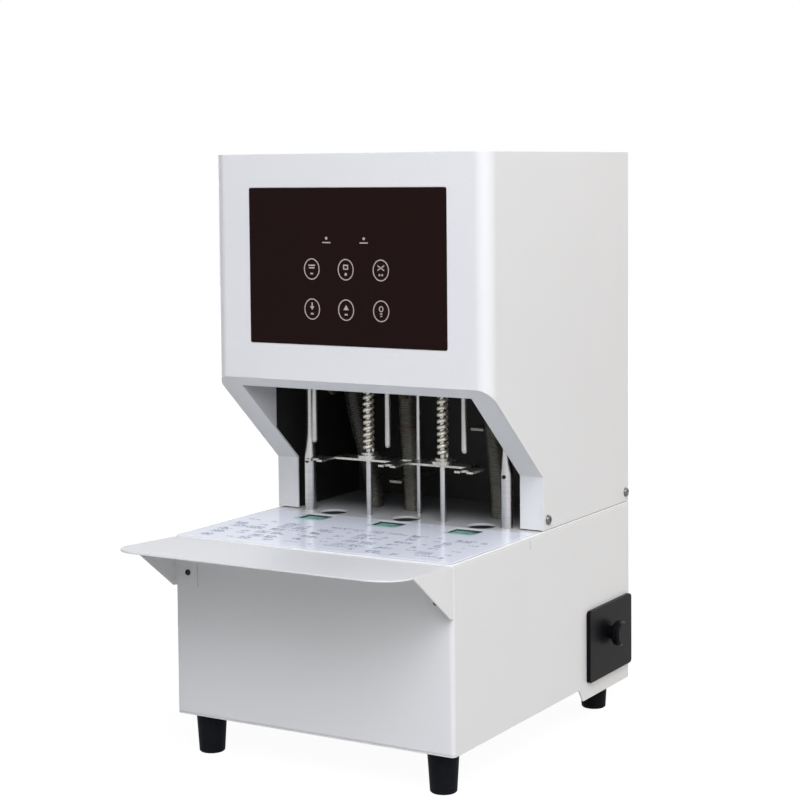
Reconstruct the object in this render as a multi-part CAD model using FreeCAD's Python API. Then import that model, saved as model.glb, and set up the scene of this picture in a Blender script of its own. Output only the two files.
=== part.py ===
import FreeCAD, Part
import math
import os

# Desk machine that drills three holes through a stack of paper in its front row
# and closes a plastic rivet tube in each hole in its rear row.
# Millimetres. +Z is up, +Y runs to the rear, +X to the right seen from the front.
# The origin lies on the desk, under the middle of the base.

# ---- body ----
body_width = 300.0
base_depth = 370.0
base_height = 170.0
foot_height = 39.0
machine_height = 566.0
base_sheet = 1.5
head_sheet = 2.0
frame_plate_thickness = 5.0

# ---- head outline, measured back from the base front and up from the table ----
head_setback = 69.0
column_setback = 174.0
head_clearance = 144.0
column_knee_height = 52.0
corner_radius = 14.0
column_width = 24.0
opening_lip = 10.4
relief_slot_width = 1.2
relief_slot_top = 3.0
relief_slot_bottom = 12.0
relief_slot_setback = 147.0
seam_gap = 0.6
bend_radius = 1.0
cheek_depth = 8.0
cheek_reach = 68.0
cut_margin = 4.0

# ---- drilling row and riveting row ----
hole_pitch = 84.0
drill_row_setback = 142.0
row_spacing = 33.0
paper_height = 50.0
plate_spare_height = 5.5
drill_rest_height = 74.5
tip_gap = 0.3

# ---- clearances ----
seat_gap = 0.3
running_gap = 0.1
sealed_gap = 0.6

# ---- table ----
table_thickness = 3.0
film_thickness = 0.3
film_margin = 4.0
film_rear_margin = 16.0
pad_width = 32.0
pad_depth = 26.0
pad_sink = 2.4
pad_height = 9.8
pad_hole_radius = 1.3
pad_hole_side = 20.5
pad_hole_forward = 7.0
film_hole_radius = 1.5
film_hole_rearward = 11.0
die_radius = 14.2
die_sink = 2.0
die_height = 11.5
die_dish_depth = 2.6
die_pin_radius = 3.2
block_height = 14.0
block_front_margin = 19.0
block_rear_margin = 18.0

# ---- front tray ----
tray_reach = 100.0
tray_rise = 4.8
tray_drop = 1.5
tray_corner_radius = 30.0
gusset_reach = 69.0
gusset_drop = 47.0
gusset_heel = 4.0
tab_width = 26.0
tab_screw_inset = 16.0
tab_screw_drop = 34.0

# ---- feet ----
foot_top_radius = 14.6
foot_bottom_radius = 12.2
foot_side_inset = 23.5
foot_front_inset = 22.5
foot_rear_inset = 35.0
foot_socket_radius = 6.0
foot_socket_depth = 24.0
foot_bore_radius = 3.0

# ---- guides ----
post_offset = 111.5
post_foot_radius = 5.8
post_shaft_radius = 3.6
post_foot_height = 53.0
post_cone_height = 26.0
rod_radius = 3.0
deck_height = 322.0
deck_thickness = 6.0
frame_front_margin = 19.0
frame_rear_reach = 76.0
frame_throat_height = 62.0
frame_throat_rise = 46.0
liner_thickness = 1.2
liner_rear_reach = 125.0
liner_height = 145.0
liner_wing_setback = 70.0
liner_wing_gap = 5.0

# ---- press plate and its springs ----
plate_thickness = 2.0
plate_bar_half_width = 76.5
plate_bar_front = 11.0
plate_bar_rear = 11.0
lobe_radius = 10.0
lobe_bore_radius = 4.5
lobe_front_reach = 3.0
stem_hole_radius = 6.5
collar_radius = 12.0
collar_flange = 3.0
collar_hub_radius = 8.2
collar_hub = 2.5
spring_wire_radius = 1.2
spring_wire_sides = 8
spring_turns = 11.0
spring_rest_length = 69.0
spring_closed_length = 47.3

# ---- drill carriage ----
carriage_height = 165.0
carriage_thickness = 12.0
carriage_front_reach = 17.0
carriage_rear_reach = 62.0
carriage_end_margin = 12.0
housing_radius = 13.0
housing_rise = 48.0
housing_foot = 5.0
bushing_radius = 10.0
bushing_height = 13.0
bushing_foot = 7.0
sleeve_radius = 6.0
seat_flange_radius = 8.0
seat_flange = 2.7
duct_radius = 5.0
spigot_radius = 7.4
spigot_length = 12.0

# ---- spindles and hollow drills ----
drill_radius = 2.75
drill_bore_radius = 1.9
drill_edge_length = 2.0
chuck_gap = 2.0
chuck_radius = 8.0
chuck_nose_radius = 5.0
chuck_nose = 5.0
chuck_length = 21.5
drill_socket = 14.0
spindle_radius = 5.0
spindle_collar_radius = 10.5
spindle_collar = 1.5
pulley_rise = 15.0
pulley_width = 14.0
pulley_radius = 10.0
pulley_flange_radius = 11.8
pulley_flange = 1.2
belt_edge_gap = 2.0
belt_thickness = 1.5
drill_motor_size = 34.0
drill_motor_offset = 40.0
drill_motor_height = 52.0
motor_corner_radius = 4.0
motor_shaft_radius = 2.5

# ---- carriage feed, in the base ----
pull_rod_radius = 2.5
pull_rod_side = -3.0
pull_rod_reach = 31.0
feed_screw_spacing = 28.0
screw_radius = 4.0
nut_block_height = 14.0
nut_block_drop = 15.0
nut_block_margin = 9.0
nut_block_half_depth = 6.5
feed_motor_size = 42.0
feed_motor_height = 38.0
shaft_socket = 6.0
lock_nut_radius = 5.0
lock_nut_height = 6.0

# ---- rivet ram, in the head ----
ram_deck_gap = 6.0
ram_thickness = 14.0
ram_half_depth = 8.0
ram_end_margin = 13.0
ram_nut_radius = 9.0
ram_screw_reach = 24.0
ram_screw_gap = 10.0
stem_radius = 4.5
rivet_head_radius = 5.5
rivet_head_length = 22.0
rivet_tip_length = 4.0
rivet_tip_radius = 2.2
rivet_rest_height = 118.0
rivet_low_height = 6.0
rivet_motor_height = 22.0
rivet_motor_size = 42.0

# ---- paper-chip hoses, chute and drawer ----
hose_radius = 9.0
hose_wall = 1.3
hose_reach = 50.0
hose_top_offsets = (-11.0, -28.0, -16.0)
hose_foot_positions = (-66.0, -21.0, 78.0)
hose_straight_top = 26.0
hose_straight_foot = 4.0
hose_foot_depth = 4.0
hose_bend_radius = 60.0
bracket_width = 14.0
bracket_thickness = 2.5
bracket_heights = (26.0, 85.0)
bracket_hose_gap = 3.5
chute_wall = 1.2
chute_front_gap = 1.0
chute_side_margin = 5.0
chute_outlet = (30.0, 92.0, 93.0, 147.0)
chute_outlet_height = 111.0
drawer_rear_inset = 1.5
drawer_width = 100.0
drawer_bottom = 42.0
drawer_height = 72.0
drawer_front_thickness = 4.0
drawer_corner_radius = 4.0
drawer_lap = 3.5
drawer_wall = 2.0
drawer_depth = 128.0
drawer_low_wall = 6.0
knob_rise = 41.5
knob_radius = 12.5
knob_neck_radius = 6.5
knob_neck = 4.0
knob_length = 13.0
knob_edge = 2.0
rail_height = 13.0
rail_front = 67.0
rail_slope = 9.0
rail_flange = 15.0
rail_flange_length = 55.0

# ---- covers, panels and small parts ----
panel_flange = 6.0
base_corner_radius = 4.0
panel_return = 5.0
bottom_lip = 4.0
glass_half_width = 107.4
glass_bottom = 178.5
glass_top = 325.2
glass_thickness = 1.2
glass_recess = 0.8
glass_corner_radius = 1.5
board_width = 120.0
board_height = 76.0
board_thickness = 1.6
board_standoff = 4.0
board_standoff_radius = 3.0
board_pitch_margin = 6.0
vent_slot_width = 3.0
vent_slot_length = 40.0
vent_slot_pitch = 8.0
vent_slot_count = 12
base_vent_side = 37.5
base_vent_rise = 85.0
head_vent_side = 75.0
head_vent_rises = (184.0, 256.0)
pan_head_radius = 4.7
pan_head_height = 2.6
pan_head_round = 1.3
pan_shank_radius = 2.2
pan_shank_length = 8.0
screw_hole_gap = 0.25
cover_screw_rise = 10.0
cover_screw_front_inset = 11.0
cover_screw_rear_inset = 7.0
tray_screw_radius = 3.3
tray_screw_height = 1.8
inlet_width = 48.0
inlet_height = 28.0
inlet_depth = 26.0
inlet_flange = 2.0
inlet_flange_margin = 3.5
inlet_centre_x = -84.0
inlet_centre_height = 52.0
socket_width = 24.5
socket_height = 16.5
socket_offset = -9.0
socket_depth = 18.0
socket_pin_radius = 1.4
socket_pin_length = 15.0
socket_pin_spacing = 7.0
rocker_radius = 9.3
rocker_width = 11.0
rocker_offset = 15.0
rocker_throw = 16.0
rocker_back = 5.0
supply_width = 90.0
supply_depth = 96.0
supply_height = 46.0
supply_side = -122.0
supply_inlet_gap = 1.0

# ---- worked out from the sizes above ----
half_width = body_width / 2
front = -base_depth / 2
rear = base_depth / 2
table_top = foot_height + base_height
table_under = table_top - table_thickness
head_top = machine_height
pan_top = foot_height + base_sheet
head_front = front + head_setback
column_front = front + column_setback
head_bottom = table_top + head_clearance
knee = table_top + column_knee_height
seam_y = head_front + corner_radius + bend_radius
column_inner = half_width - column_width
drill_y = front + drill_row_setback
rivet_y = drill_y + row_spacing
rod_offset = hole_pitch / 2
hole_positions = (-hole_pitch, 0.0, hole_pitch)
plate_bottom = table_top + paper_height + plate_spare_height
plate_top = plate_bottom + plate_thickness
spring_foot = plate_top + collar_flange + collar_hub + seat_gap
spring_head = spring_foot + spring_rest_length
seat_bottom = spring_head + seat_gap
carriage_bottom = table_top + carriage_height
carriage_top = carriage_bottom + carriage_thickness
drill_tip = table_top + drill_rest_height
pad_top = table_top - pad_sink
housing_bottom = carriage_bottom - housing_foot
housing_top = carriage_top + housing_rise
chuck_top = housing_bottom - chuck_gap
chuck_bottom = chuck_top - chuck_length
pulley_bottom = housing_top + pulley_rise
drill_stroke = drill_tip - pad_top - tip_gap
spring_stroke = spring_rest_length - spring_closed_length
deck_bottom = table_top + deck_height
deck_top = deck_bottom + deck_thickness
frame_inner = column_inner + frame_plate_thickness + seam_gap * 2
frame_front = drill_y - frame_front_margin
frame_rear = rivet_y + frame_rear_reach
liner_rear = rivet_y + liner_rear_reach
liner_front = column_front + head_sheet
hose_y = rivet_y + hose_reach
pull_rod_y = rivet_y + pull_rod_reach
ram_screw_y = rivet_y + ram_screw_reach
ram_bottom = deck_bottom - ram_deck_gap - ram_thickness
ram_stroke = rivet_rest_height - rivet_low_height
hose_top_positions = tuple(x + d for x, d in zip(hole_positions, hose_top_offsets))
drawer_rear = rear - drawer_rear_inset
supply_rear = rear - inlet_depth - supply_inlet_gap
cover_screw_positions = (column_front + cover_screw_front_inset, rear - cover_screw_rear_inset)
drawer_front_edge = drawer_rear - drawer_width

vector = FreeCAD.Vector
parts = {}


# ---- helpers ----
def box(x0, x1, y0, y1, z0, z1):
    return Part.makeBox(x1 - x0, y1 - y0, z1 - z0, vector(x0, y0, z0))


def rod_z(x, y, z0, z1, radius):
    return Part.makeCylinder(radius, z1 - z0, vector(x, y, z0))


def rod_x(y, z, x0, x1, radius):
    return Part.makeCylinder(radius, x1 - x0, vector(x0, y, z), vector(1, 0, 0))


def rod_y(x, z, y0, y1, radius):
    return Part.makeCylinder(radius, y1 - y0, vector(x, y0, z), vector(0, 1, 0))


def closed_face(points):
    return Part.Face(Part.makePolygon(points + [points[0]]))


def prism_along_x(points, x0, x1):
    return closed_face([vector(x0, y, z) for y, z in points]).extrude(vector(x1 - x0, 0, 0))


def prism_along_z(points, z0, z1):
    return closed_face([vector(x, y, z0) for x, y in points]).extrude(vector(0, 0, z1 - z0))


def turned(points, x, y):
    """Solid of revolution about the upright line through x, y from (radius, height) points."""
    outline = closed_face([vector(x + r, y, z) for r, z in points])
    return outline.revolve(vector(x, y, 0), vector(0, 0, 1), 360)


def rounded_box(x0, x1, y0, y1, z0, z1, radius, axis):
    """Box whose four edges along the given axis (0, 1 or 2) are rounded."""
    solid = box(x0, x1, y0, y1, z0, z1)
    return solid.makeFillet(radius, edges_along(solid, axis))


def edges_along(solid, axis):
    found = []
    for edge in solid.Edges:
        ends = edge.BoundBox
        spans = (ends.XLength, ends.YLength, ends.ZLength)
        if spans[axis] > running_gap and sum(spans) - spans[axis] < running_gap:
            found.append(edge)
    return found


def edges_where(solid, test):
    return [edge for edge in solid.Edges if test(edge.BoundBox)]


def joined(shapes):
    result = shapes[0]
    for shape in shapes[1:]:
        result = result.fuse(shape)
    return result.removeSplitter()


def without(solid, cutters):
    for cutter in cutters:
        solid = solid.cut(cutter)
    return solid


def mirrored(solid):
    return solid.mirror(vector(0, 0, 0), vector(1, 0, 0))


def add(name, shape):
    parts[name] = shape


def front_rounded(solid, radius):
    """The solid with its upright front corners rounded."""
    face = solid.BoundBox.YMin
    return solid.makeFillet(radius, [edge for edge in edges_along(solid, 2)
                                     if edge.BoundBox.YMax < face + running_gap])


# ---- base ----
def base_shell():
    inside = box(-half_width + base_sheet, half_width - base_sheet, front, rear, pan_top, table_top)
    blank = front_rounded(box(-half_width, half_width, front, rear, foot_height, table_under),
                          base_corner_radius)
    opening = box(-half_width - seam_gap, half_width + seam_gap, front - seam_gap,
                  front + panel_return + seat_gap, pan_top, table_top)
    pieces = [without(blank, [inside, opening])]
    flange_start = half_width - panel_flange
    for y in (front + panel_return + seat_gap, rear - base_sheet):
        for side in (-1, 1):
            x0, x1 = sorted((side * flange_start, side * (half_width - base_sheet)))
            pieces.append(box(x0, x1, y, y + base_sheet, pan_top, table_under))
        pieces.append(box(-flange_start, flange_start, y, y + base_sheet, pan_top, pan_top + bottom_lip))
    rail_bottom = foot_height - rail_height
    rail_outline = [(rail_front, foot_height), (rail_front + rail_slope, rail_bottom),
                    (rear - base_sheet, rail_bottom), (rear - base_sheet, foot_height)]
    pieces.append(prism_along_x(rail_outline, half_width - base_sheet, half_width))
    pieces.append(box(half_width - rail_flange, half_width - base_sheet, rail_front,
                      rail_front + rail_flange_length, foot_height - base_sheet, foot_height))
    slot = box(half_width - base_sheet - seam_gap, half_width + seam_gap,
               drawer_front_edge + drawer_lap, drawer_rear - drawer_lap,
               drawer_bottom + drawer_lap, drawer_bottom + drawer_height - drawer_lap)
    slot_y = front + relief_slot_setback
    reliefs = box(-half_width - seam_gap, half_width + seam_gap, slot_y, slot_y + relief_slot_width,
                  table_top - relief_slot_bottom, table_top - relief_slot_top)
    add("base_shell", without(joined(pieces), [slot, reliefs]))


def base_front_panel():
    """Front sheet whose sides are bent round the corners of the base."""
    inner = half_width - base_sheet
    panel = front_rounded(box(-half_width, half_width, front, front + panel_return,
                              pan_top + seat_gap, table_under), base_corner_radius)
    inside = front_rounded(box(-inner, inner, front + base_sheet, front + panel_return + seam_gap,
                               pan_top, table_top), base_corner_radius - base_sheet)
    holes = [rod_y(side * (half_width - tab_screw_inset), table_top - tab_screw_drop,
                   front - seam_gap, front + base_sheet + seam_gap,
                   pan_shank_radius + screw_hole_gap) for side in (-1, 1)]
    add("base_front_panel", without(panel, [inside] + holes))


def vent_slots(centre_x, bottom, y0, y1):
    slots = []
    for index in range(vent_slot_count):
        x = centre_x + (index - (vent_slot_count - 1) / 2) * vent_slot_pitch
        slots.append(rounded_box(x - vent_slot_width / 2, x + vent_slot_width / 2, y0, y1,
                                 bottom, bottom + vent_slot_length,
                                 vent_slot_width / 2 - running_gap, 1))
    return slots


def base_rear_panel():
    inset = panel_flange + seat_gap
    y0, y1 = rear - base_sheet, rear
    panel = box(-half_width + inset, half_width - inset, y0, y1, pan_top + bottom_lip + seat_gap,
                table_under)
    inlet_z = foot_height + inlet_centre_height
    cutters = [box(inlet_centre_x - inlet_width / 2 - seat_gap, inlet_centre_x + inlet_width / 2 + seat_gap,
                   y0 - seam_gap, y1 + seam_gap,
                   inlet_z - inlet_height / 2 - seat_gap, inlet_z + inlet_height / 2 + seat_gap)]
    cutters += vent_slots(base_vent_side, foot_height + base_vent_rise, y0 - seam_gap, y1 + seam_gap)
    add("base_rear_panel", without(panel, cutters))


def foot(name, x, y):
    profile = [(foot_bore_radius, foot_socket_depth), (foot_socket_radius, foot_socket_depth),
               (foot_socket_radius, 0), (foot_bottom_radius - bend_radius, 0),
               (foot_bottom_radius, bend_radius), (foot_top_radius, foot_height),
               (foot_bore_radius, foot_height)]
    add(name, turned(profile, x, y))


def feet():
    for row, y in (("front", front + foot_front_inset), ("rear", rear - foot_rear_inset)):
        for side, x in (("left", -half_width + foot_side_inset), ("right", half_width - foot_side_inset)):
            foot("foot_%s_%s" % (row, side), x, y)


# ---- table ----
def pad_boxes(margin, z0, z1):
    return [box(x - pad_width / 2 - margin, x + pad_width / 2 + margin,
                drill_y - pad_depth / 2 - margin, drill_y + pad_depth / 2 + margin, z0, z1)
            for x in hole_positions]


def small_holes(z0, z1):
    """Pin holes beside the pads and between them, through the film and the table plate."""
    holes = [rod_z(x - pad_hole_side, drill_y - pad_hole_forward, z0, z1, pad_hole_radius)
             for x in hole_positions]
    holes += [rod_z(x, drill_y + film_hole_rearward, z0, z1, film_hole_radius)
              for x in (-rod_offset, rod_offset)]
    return holes


def hose_line_x(index, z):
    """Middle of a hose at a height on its slanting middle stretch."""
    z0 = table_top + hose_straight_foot
    z1 = carriage_bottom - hose_straight_top
    share = (z - z0) / (z1 - z0)
    return hose_foot_positions[index] + share * (hose_top_positions[index] - hose_foot_positions[index])


def table_plate():
    plate = front_rounded(box(-half_width, half_width, front, rear, table_under, table_top),
                          base_corner_radius)
    rims = edges_where(plate, lambda b: b.ZMin > table_top - running_gap and
                       (b.YMax < front + running_gap or b.XMin > half_width - running_gap or
                        b.XMax < -half_width + running_gap))
    plate = plate.makeFillet(bend_radius, rims)
    below, above = table_under - seam_gap, table_top + seam_gap
    cutters = pad_boxes(seat_gap, below, above) + small_holes(below, above)
    cutters += [rod_z(x, rivet_y, below, above, die_radius + seat_gap) for x in hole_positions]
    cutters += [rod_z(x, hose_y, below, above, hose_radius + seam_gap) for x in hose_foot_positions]
    cutters.append(rod_z(pull_rod_side, pull_rod_y, below, above, pull_rod_radius + seat_gap))
    slot_depth = (column_front + head_sheet + sealed_gap, frame_rear + seat_gap)
    for side in (-1, 1):
        x0, x1 = sorted((side * (frame_inner - seat_gap),
                         side * (frame_inner + frame_plate_thickness + seat_gap)))
        cutters.append(box(x0, x1, slot_depth[0], slot_depth[1], below, above))
    add("table_plate", without(plate, cutters))


def table_film():
    film = box(-half_width + film_margin, half_width - film_margin, front + film_margin,
               rivet_y - film_rear_margin, table_top, table_top + film_thickness)
    below, above = table_top - seam_gap, table_top + seam_gap
    add("table_film", without(film, pad_boxes(seat_gap, below, above) + small_holes(below, above)))


def anvil_block():
    bottom = table_under - block_height
    block = box(-frame_inner, frame_inner, drill_y - block_front_margin, rivet_y + block_rear_margin,
                bottom, table_under)
    pocket_floor = pad_top - pad_height
    die_floor = table_top - die_sink - die_height
    cutters = pad_boxes(seat_gap, pocket_floor, table_top)
    cutters += [rod_z(x, rivet_y, die_floor, table_top, die_radius + seat_gap) for x in hole_positions]
    add("anvil_block", without(block, cutters))


def drill_pads():
    add("drill_pads", Part.makeCompound(pad_boxes(0, pad_top - pad_height, pad_top)))


def rivet_dies():
    top = table_top - die_sink
    dies = []
    for x in hole_positions:
        profile = [(0, top - die_height), (die_radius, top - die_height), (die_radius, top),
                   (die_radius - bend_radius, top), (die_pin_radius, top - die_dish_depth),
                   (die_pin_radius, top - bend_radius), (0, top - bend_radius)]
        dies.append(turned(profile, x, rivet_y))
    add("rivet_dies", Part.makeCompound(dies))


# ---- front tray ----
def front_tray():
    top = table_top - tray_drop
    tip = front - tray_reach
    tip_top = top + tray_rise
    sheet = prism_along_x([(tip, tip_top - base_sheet), (tip, tip_top), (front, top),
                           (front, top - base_sheet)], -half_width, half_width)
    corners = edges_where(sheet, lambda b: b.ZLength > bend_radius and b.YMax < tip + running_gap)
    sheet = sheet.makeFillet(tray_corner_radius, corners)
    low = table_top - gusset_drop
    outline = [(front - gusset_reach, top + tray_rise * gusset_reach / tray_reach), (front, top),
               (front, low), (front - gusset_heel, low)]
    gusset = prism_along_x(outline, half_width - base_sheet, half_width)
    tab = box(half_width - tab_width, half_width, front - base_sheet, front, low, top - bend_radius)
    tab = tab.cut(rod_y(half_width - tab_screw_inset, table_top - tab_screw_drop,
                        front - base_sheet - seam_gap, front + seam_gap,
                        pan_shank_radius + screw_hole_gap))
    add("front_tray", joined([sheet, gusset, tab, mirrored(gusset), mirrored(tab)]))


def pan_screw(head_radius, head_height, shank_length):
    """Pan-head screw along +Z with its seat at the origin and its head above it."""
    profile = [(0, -shank_length), (pan_shank_radius, -shank_length), (pan_shank_radius, 0),
               (head_radius, 0), (head_radius, head_height - pan_head_round),
               (head_radius - pan_head_round, head_height), (0, head_height)]
    return turned(profile, 0, 0)


def placed(solid, axis, angle, position):
    copy = solid.copy()
    copy.rotate(vector(0, 0, 0), axis, angle)
    copy.translate(position)
    return copy


def tray_screws():
    screw = pan_screw(tray_screw_radius, tray_screw_height, pan_shank_length)
    screws = [placed(screw, vector(1, 0, 0), 90,
                     vector(side * (half_width - tab_screw_inset), front - base_sheet,
                            table_top - tab_screw_drop)) for side in (-1, 1)]
    add("tray_screws", Part.makeCompound(screws))


# ---- frame ----
def frame_plates():
    throat_rear = liner_front + sealed_gap * 2
    outline = [(frame_front, pan_top), (frame_front, table_under), (throat_rear, table_under),
               (throat_rear, table_top + frame_throat_height),
               (frame_front, table_top + frame_throat_height + frame_throat_rise),
               (frame_front, deck_top), (frame_rear, deck_top), (frame_rear, pan_top)]
    right = prism_along_x(outline, frame_inner, frame_inner + frame_plate_thickness)
    add("frame_plate_right", right)
    add("frame_plate_left", mirrored(right))


def throat_liner():
    top = table_top + liner_height
    back = liner_front + sealed_gap * 2
    outer = box(-frame_inner, frame_inner, back, liner_rear, table_top, top)
    inner = box(-frame_inner + liner_thickness, frame_inner - liner_thickness,
                front, liner_rear - liner_thickness, table_top - seam_gap, top + seam_gap)
    tip = head_front + liner_wing_setback
    wing = prism_along_x([(back, knee + liner_wing_gap), (tip, slope_height(tip) + liner_wing_gap),
                          (tip, top), (back, top)], frame_inner - liner_thickness, frame_inner)
    add("throat_liner", joined([outer.cut(inner), wing, mirrored(wing)]))


def top_deck():
    deck = box(-frame_inner, frame_inner, frame_front, frame_rear, deck_bottom, deck_top)
    hole = rod_z(0, ram_screw_y, deck_bottom - seam_gap, deck_top + seam_gap, screw_radius + seat_gap)
    add("top_deck", deck.cut(hole))


def guide_posts():
    profile = [(0, table_top), (post_foot_radius, table_top),
               (post_foot_radius, table_top + post_foot_height),
               (post_shaft_radius, table_top + post_foot_height + post_cone_height),
               (post_shaft_radius, deck_bottom), (0, deck_bottom)]
    for side, x in (("left", -post_offset), ("right", post_offset)):
        add("guide_post_" + side, turned(profile, x, rivet_y))


def guide_rods():
    for side, x in (("left", -rod_offset), ("right", rod_offset)):
        add("guide_rod_" + side, rod_z(x, rivet_y, table_top, deck_bottom, rod_radius))


# ---- head ----
def head_outline(offset):
    """Side outline of the head, moved inwards by offset. The foot stays open."""
    rise, run = head_bottom - knee, column_front - head_front
    slant = math.hypot(rise, run)
    normal_shift = offset * slant / run
    shallow_bottom = knee + normal_shift
    step = offset * rise / run
    return [(head_front + offset, head_bottom + normal_shift - step),
            (head_front + offset, head_top - offset), (rear - offset, head_top - offset),
            (rear - offset, table_top + seam_gap - offset * 2),
            (column_front + offset, table_top + seam_gap - offset * 2),
            (column_front + offset, shallow_bottom - step)]


def head_solid(offset):
    width = half_width - offset
    solid = prism_along_x(head_outline(offset), -width, width)
    near_front = head_front + offset + running_gap
    corners = edges_where(solid, lambda b: b.YMax < near_front and b.ZLength > corner_radius)
    return solid.makeFillet(corner_radius - offset, corners)


def slope_height(y):
    """Height of the outer sloping face at a depth."""
    share = (y - head_front) / (column_front - head_front)
    return head_bottom + share * (knee - head_bottom)


def opening_cutter():
    """Wedge-shaped cutter for the opening through the slope and between the columns."""
    lip_y = head_front + opening_lip
    above = slope_height(lip_y) + cut_margin
    back = column_front + cut_margin
    outline = [(lip_y, table_top - cut_margin), (lip_y, above), (lip_y + corner_radius, above),
               (back, knee + cheek_depth), (back, table_top - cut_margin)]
    return prism_along_x(outline, -column_inner, column_inner)


def front_cover():
    shell = head_solid(0).cut(head_solid(head_sheet))
    forehead = shell.common(box(-half_width, half_width, head_front, seam_y, head_bottom - head_clearance,
                                head_top))
    inner_half = half_width - head_sheet
    face = shell.common(box(-inner_half, inner_half, seam_y, column_front + head_sheet,
                            table_top + seam_gap * 2, head_bottom + seam_gap))
    cover = joined([forehead, face]).cut(opening_cutter())
    lip_y = head_front + opening_lip
    lip_z = slope_height(lip_y)
    cheek_rear = head_front + cheek_reach
    cheek = prism_along_x([(lip_y, lip_z + head_sheet), (lip_y, lip_z + cheek_depth),
                           (cheek_rear, lip_z), (cheek_rear, slope_height(cheek_rear) + head_sheet)],
                          column_inner, column_inner + head_sheet)
    cover = joined([cover, cheek, mirrored(cheek)])
    recess = glass_box(head_front, head_front + glass_recess, seat_gap)
    add("front_cover", cover.cut(recess))


def head_cover():
    shell = head_solid(0).cut(head_solid(head_sheet))
    shell = shell.common(box(-half_width, half_width, seam_y, rear, table_top, head_top))
    inner_half = half_width - head_sheet
    cover = shell.cut(box(-inner_half, inner_half, seam_y - seam_gap, rear + seam_gap,
                          table_top - seam_gap, head_top - head_sheet))
    holes = [rod_x(y, table_top + cover_screw_rise, -half_width - seam_gap,
                   half_width + seam_gap, pan_shank_radius + screw_hole_gap)
             for y in cover_screw_positions]
    add("head_cover", without(cover, holes))


def head_rear_panel():
    inner_half = half_width - head_sheet
    panel = box(-inner_half, inner_half, rear - head_sheet, rear, table_top + seam_gap,
                head_top - head_sheet)
    slots = []
    for centre_x in (-head_vent_side, head_vent_side):
        for rise in head_vent_rises:
            slots += vent_slots(centre_x, table_top + rise, rear - head_sheet - seam_gap, rear + seam_gap)
    add("head_rear_panel", without(panel, slots))


def cover_screws():
    screw = pan_screw(pan_head_radius, pan_head_height, pan_shank_length)
    screws = []
    for y in cover_screw_positions:
        for side in (-1, 1):
            screws.append(placed(screw, vector(0, 1, 0), side * 90,
                                 vector(side * half_width, y, table_top + cover_screw_rise)))
    add("cover_screws", Part.makeCompound(screws))


def glass_box(y0, y1, margin):
    return rounded_box(-glass_half_width - margin, glass_half_width + margin, y0, y1,
                       table_top + glass_bottom - margin, table_top + glass_top + margin,
                       glass_corner_radius + margin, 1)


def touch_panel():
    back = head_front + glass_recess
    add("touch_panel", glass_box(back - glass_thickness, back, 0))


def control_board():
    back = head_front + head_sheet
    board_y = back + board_standoff
    middle = table_top + (glass_bottom + glass_top) / 2
    board = box(-board_width / 2, board_width / 2, board_y, board_y + board_thickness,
                middle - board_height / 2, middle + board_height / 2)
    pieces = [board]
    for x in (-board_width / 2 + board_pitch_margin, board_width / 2 - board_pitch_margin):
        for side in (-1, 1):
            z = middle + side * (board_height / 2 - board_pitch_margin)
            pieces.append(rod_y(x, z, back, board_y, board_standoff_radius))
    add("control_board", joined(pieces))


# ---- drill carriage ----
def duct(index):
    """Chip channel on the carriage, from a spindle housing back to its hose spigot."""
    x, hose_x = hole_positions[index], hose_top_positions[index]
    near, far = sorted((x, hose_x))
    across = rod_x(drill_y, carriage_top, near, far, duct_radius)
    back = rod_y(hose_x, carriage_top, drill_y, hose_y, duct_radius)
    ends = [rod_z(hose_x, hose_y, carriage_top - duct_radius, carriage_top + duct_radius, duct_radius),
            rod_z(hose_x, drill_y, carriage_top - duct_radius, carriage_top + duct_radius, duct_radius)]
    return joined([across, back] + ends)


def drill_carriage():
    half = post_offset + carriage_end_margin
    plate = rounded_box(-half, half, drill_y - carriage_front_reach, rivet_y + carriage_rear_reach,
                        carriage_bottom, carriage_top, carriage_end_margin / 2, 2)
    solids = [plate]
    bores = []
    for index, x in enumerate(hole_positions):
        solids.append(rod_z(x, drill_y, housing_bottom, housing_top, housing_radius))
        solids.append(duct(index))
        solids.append(rod_z(hose_top_positions[index], hose_y, carriage_bottom - spigot_length,
                            carriage_bottom, spigot_radius))
        bores.append(rod_z(x, drill_y, housing_bottom - seam_gap, housing_top + seam_gap,
                           spindle_radius + seat_gap))
        bores.append(rod_z(x, rivet_y, carriage_bottom - seam_gap, carriage_top + duct_radius,
                           rivet_head_radius + seam_gap))
    for x in (-post_offset, post_offset):
        solids.append(rod_z(x, rivet_y, carriage_bottom - bushing_foot, carriage_top + bushing_height,
                            bushing_radius))
        bores.append(rod_z(x, rivet_y, carriage_bottom - bushing_foot - seam_gap,
                           carriage_top + bushing_height + seam_gap, post_shaft_radius + running_gap))
    for x in (-rod_offset, rod_offset):
        solids.append(rod_z(x, rivet_y, seat_bottom, carriage_bottom, sleeve_radius))
        solids.append(rod_z(x, rivet_y, seat_bottom, seat_bottom + seat_flange, seat_flange_radius))
        bores.append(rod_z(x, rivet_y, seat_bottom - seam_gap, carriage_top + seam_gap,
                           rod_radius + running_gap))
    bores.append(rod_z(pull_rod_side, pull_rod_y, carriage_bottom - seam_gap, carriage_top + seam_gap,
                       pull_rod_radius))
    add("drill_carriage", without(joined(solids), bores))


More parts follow.
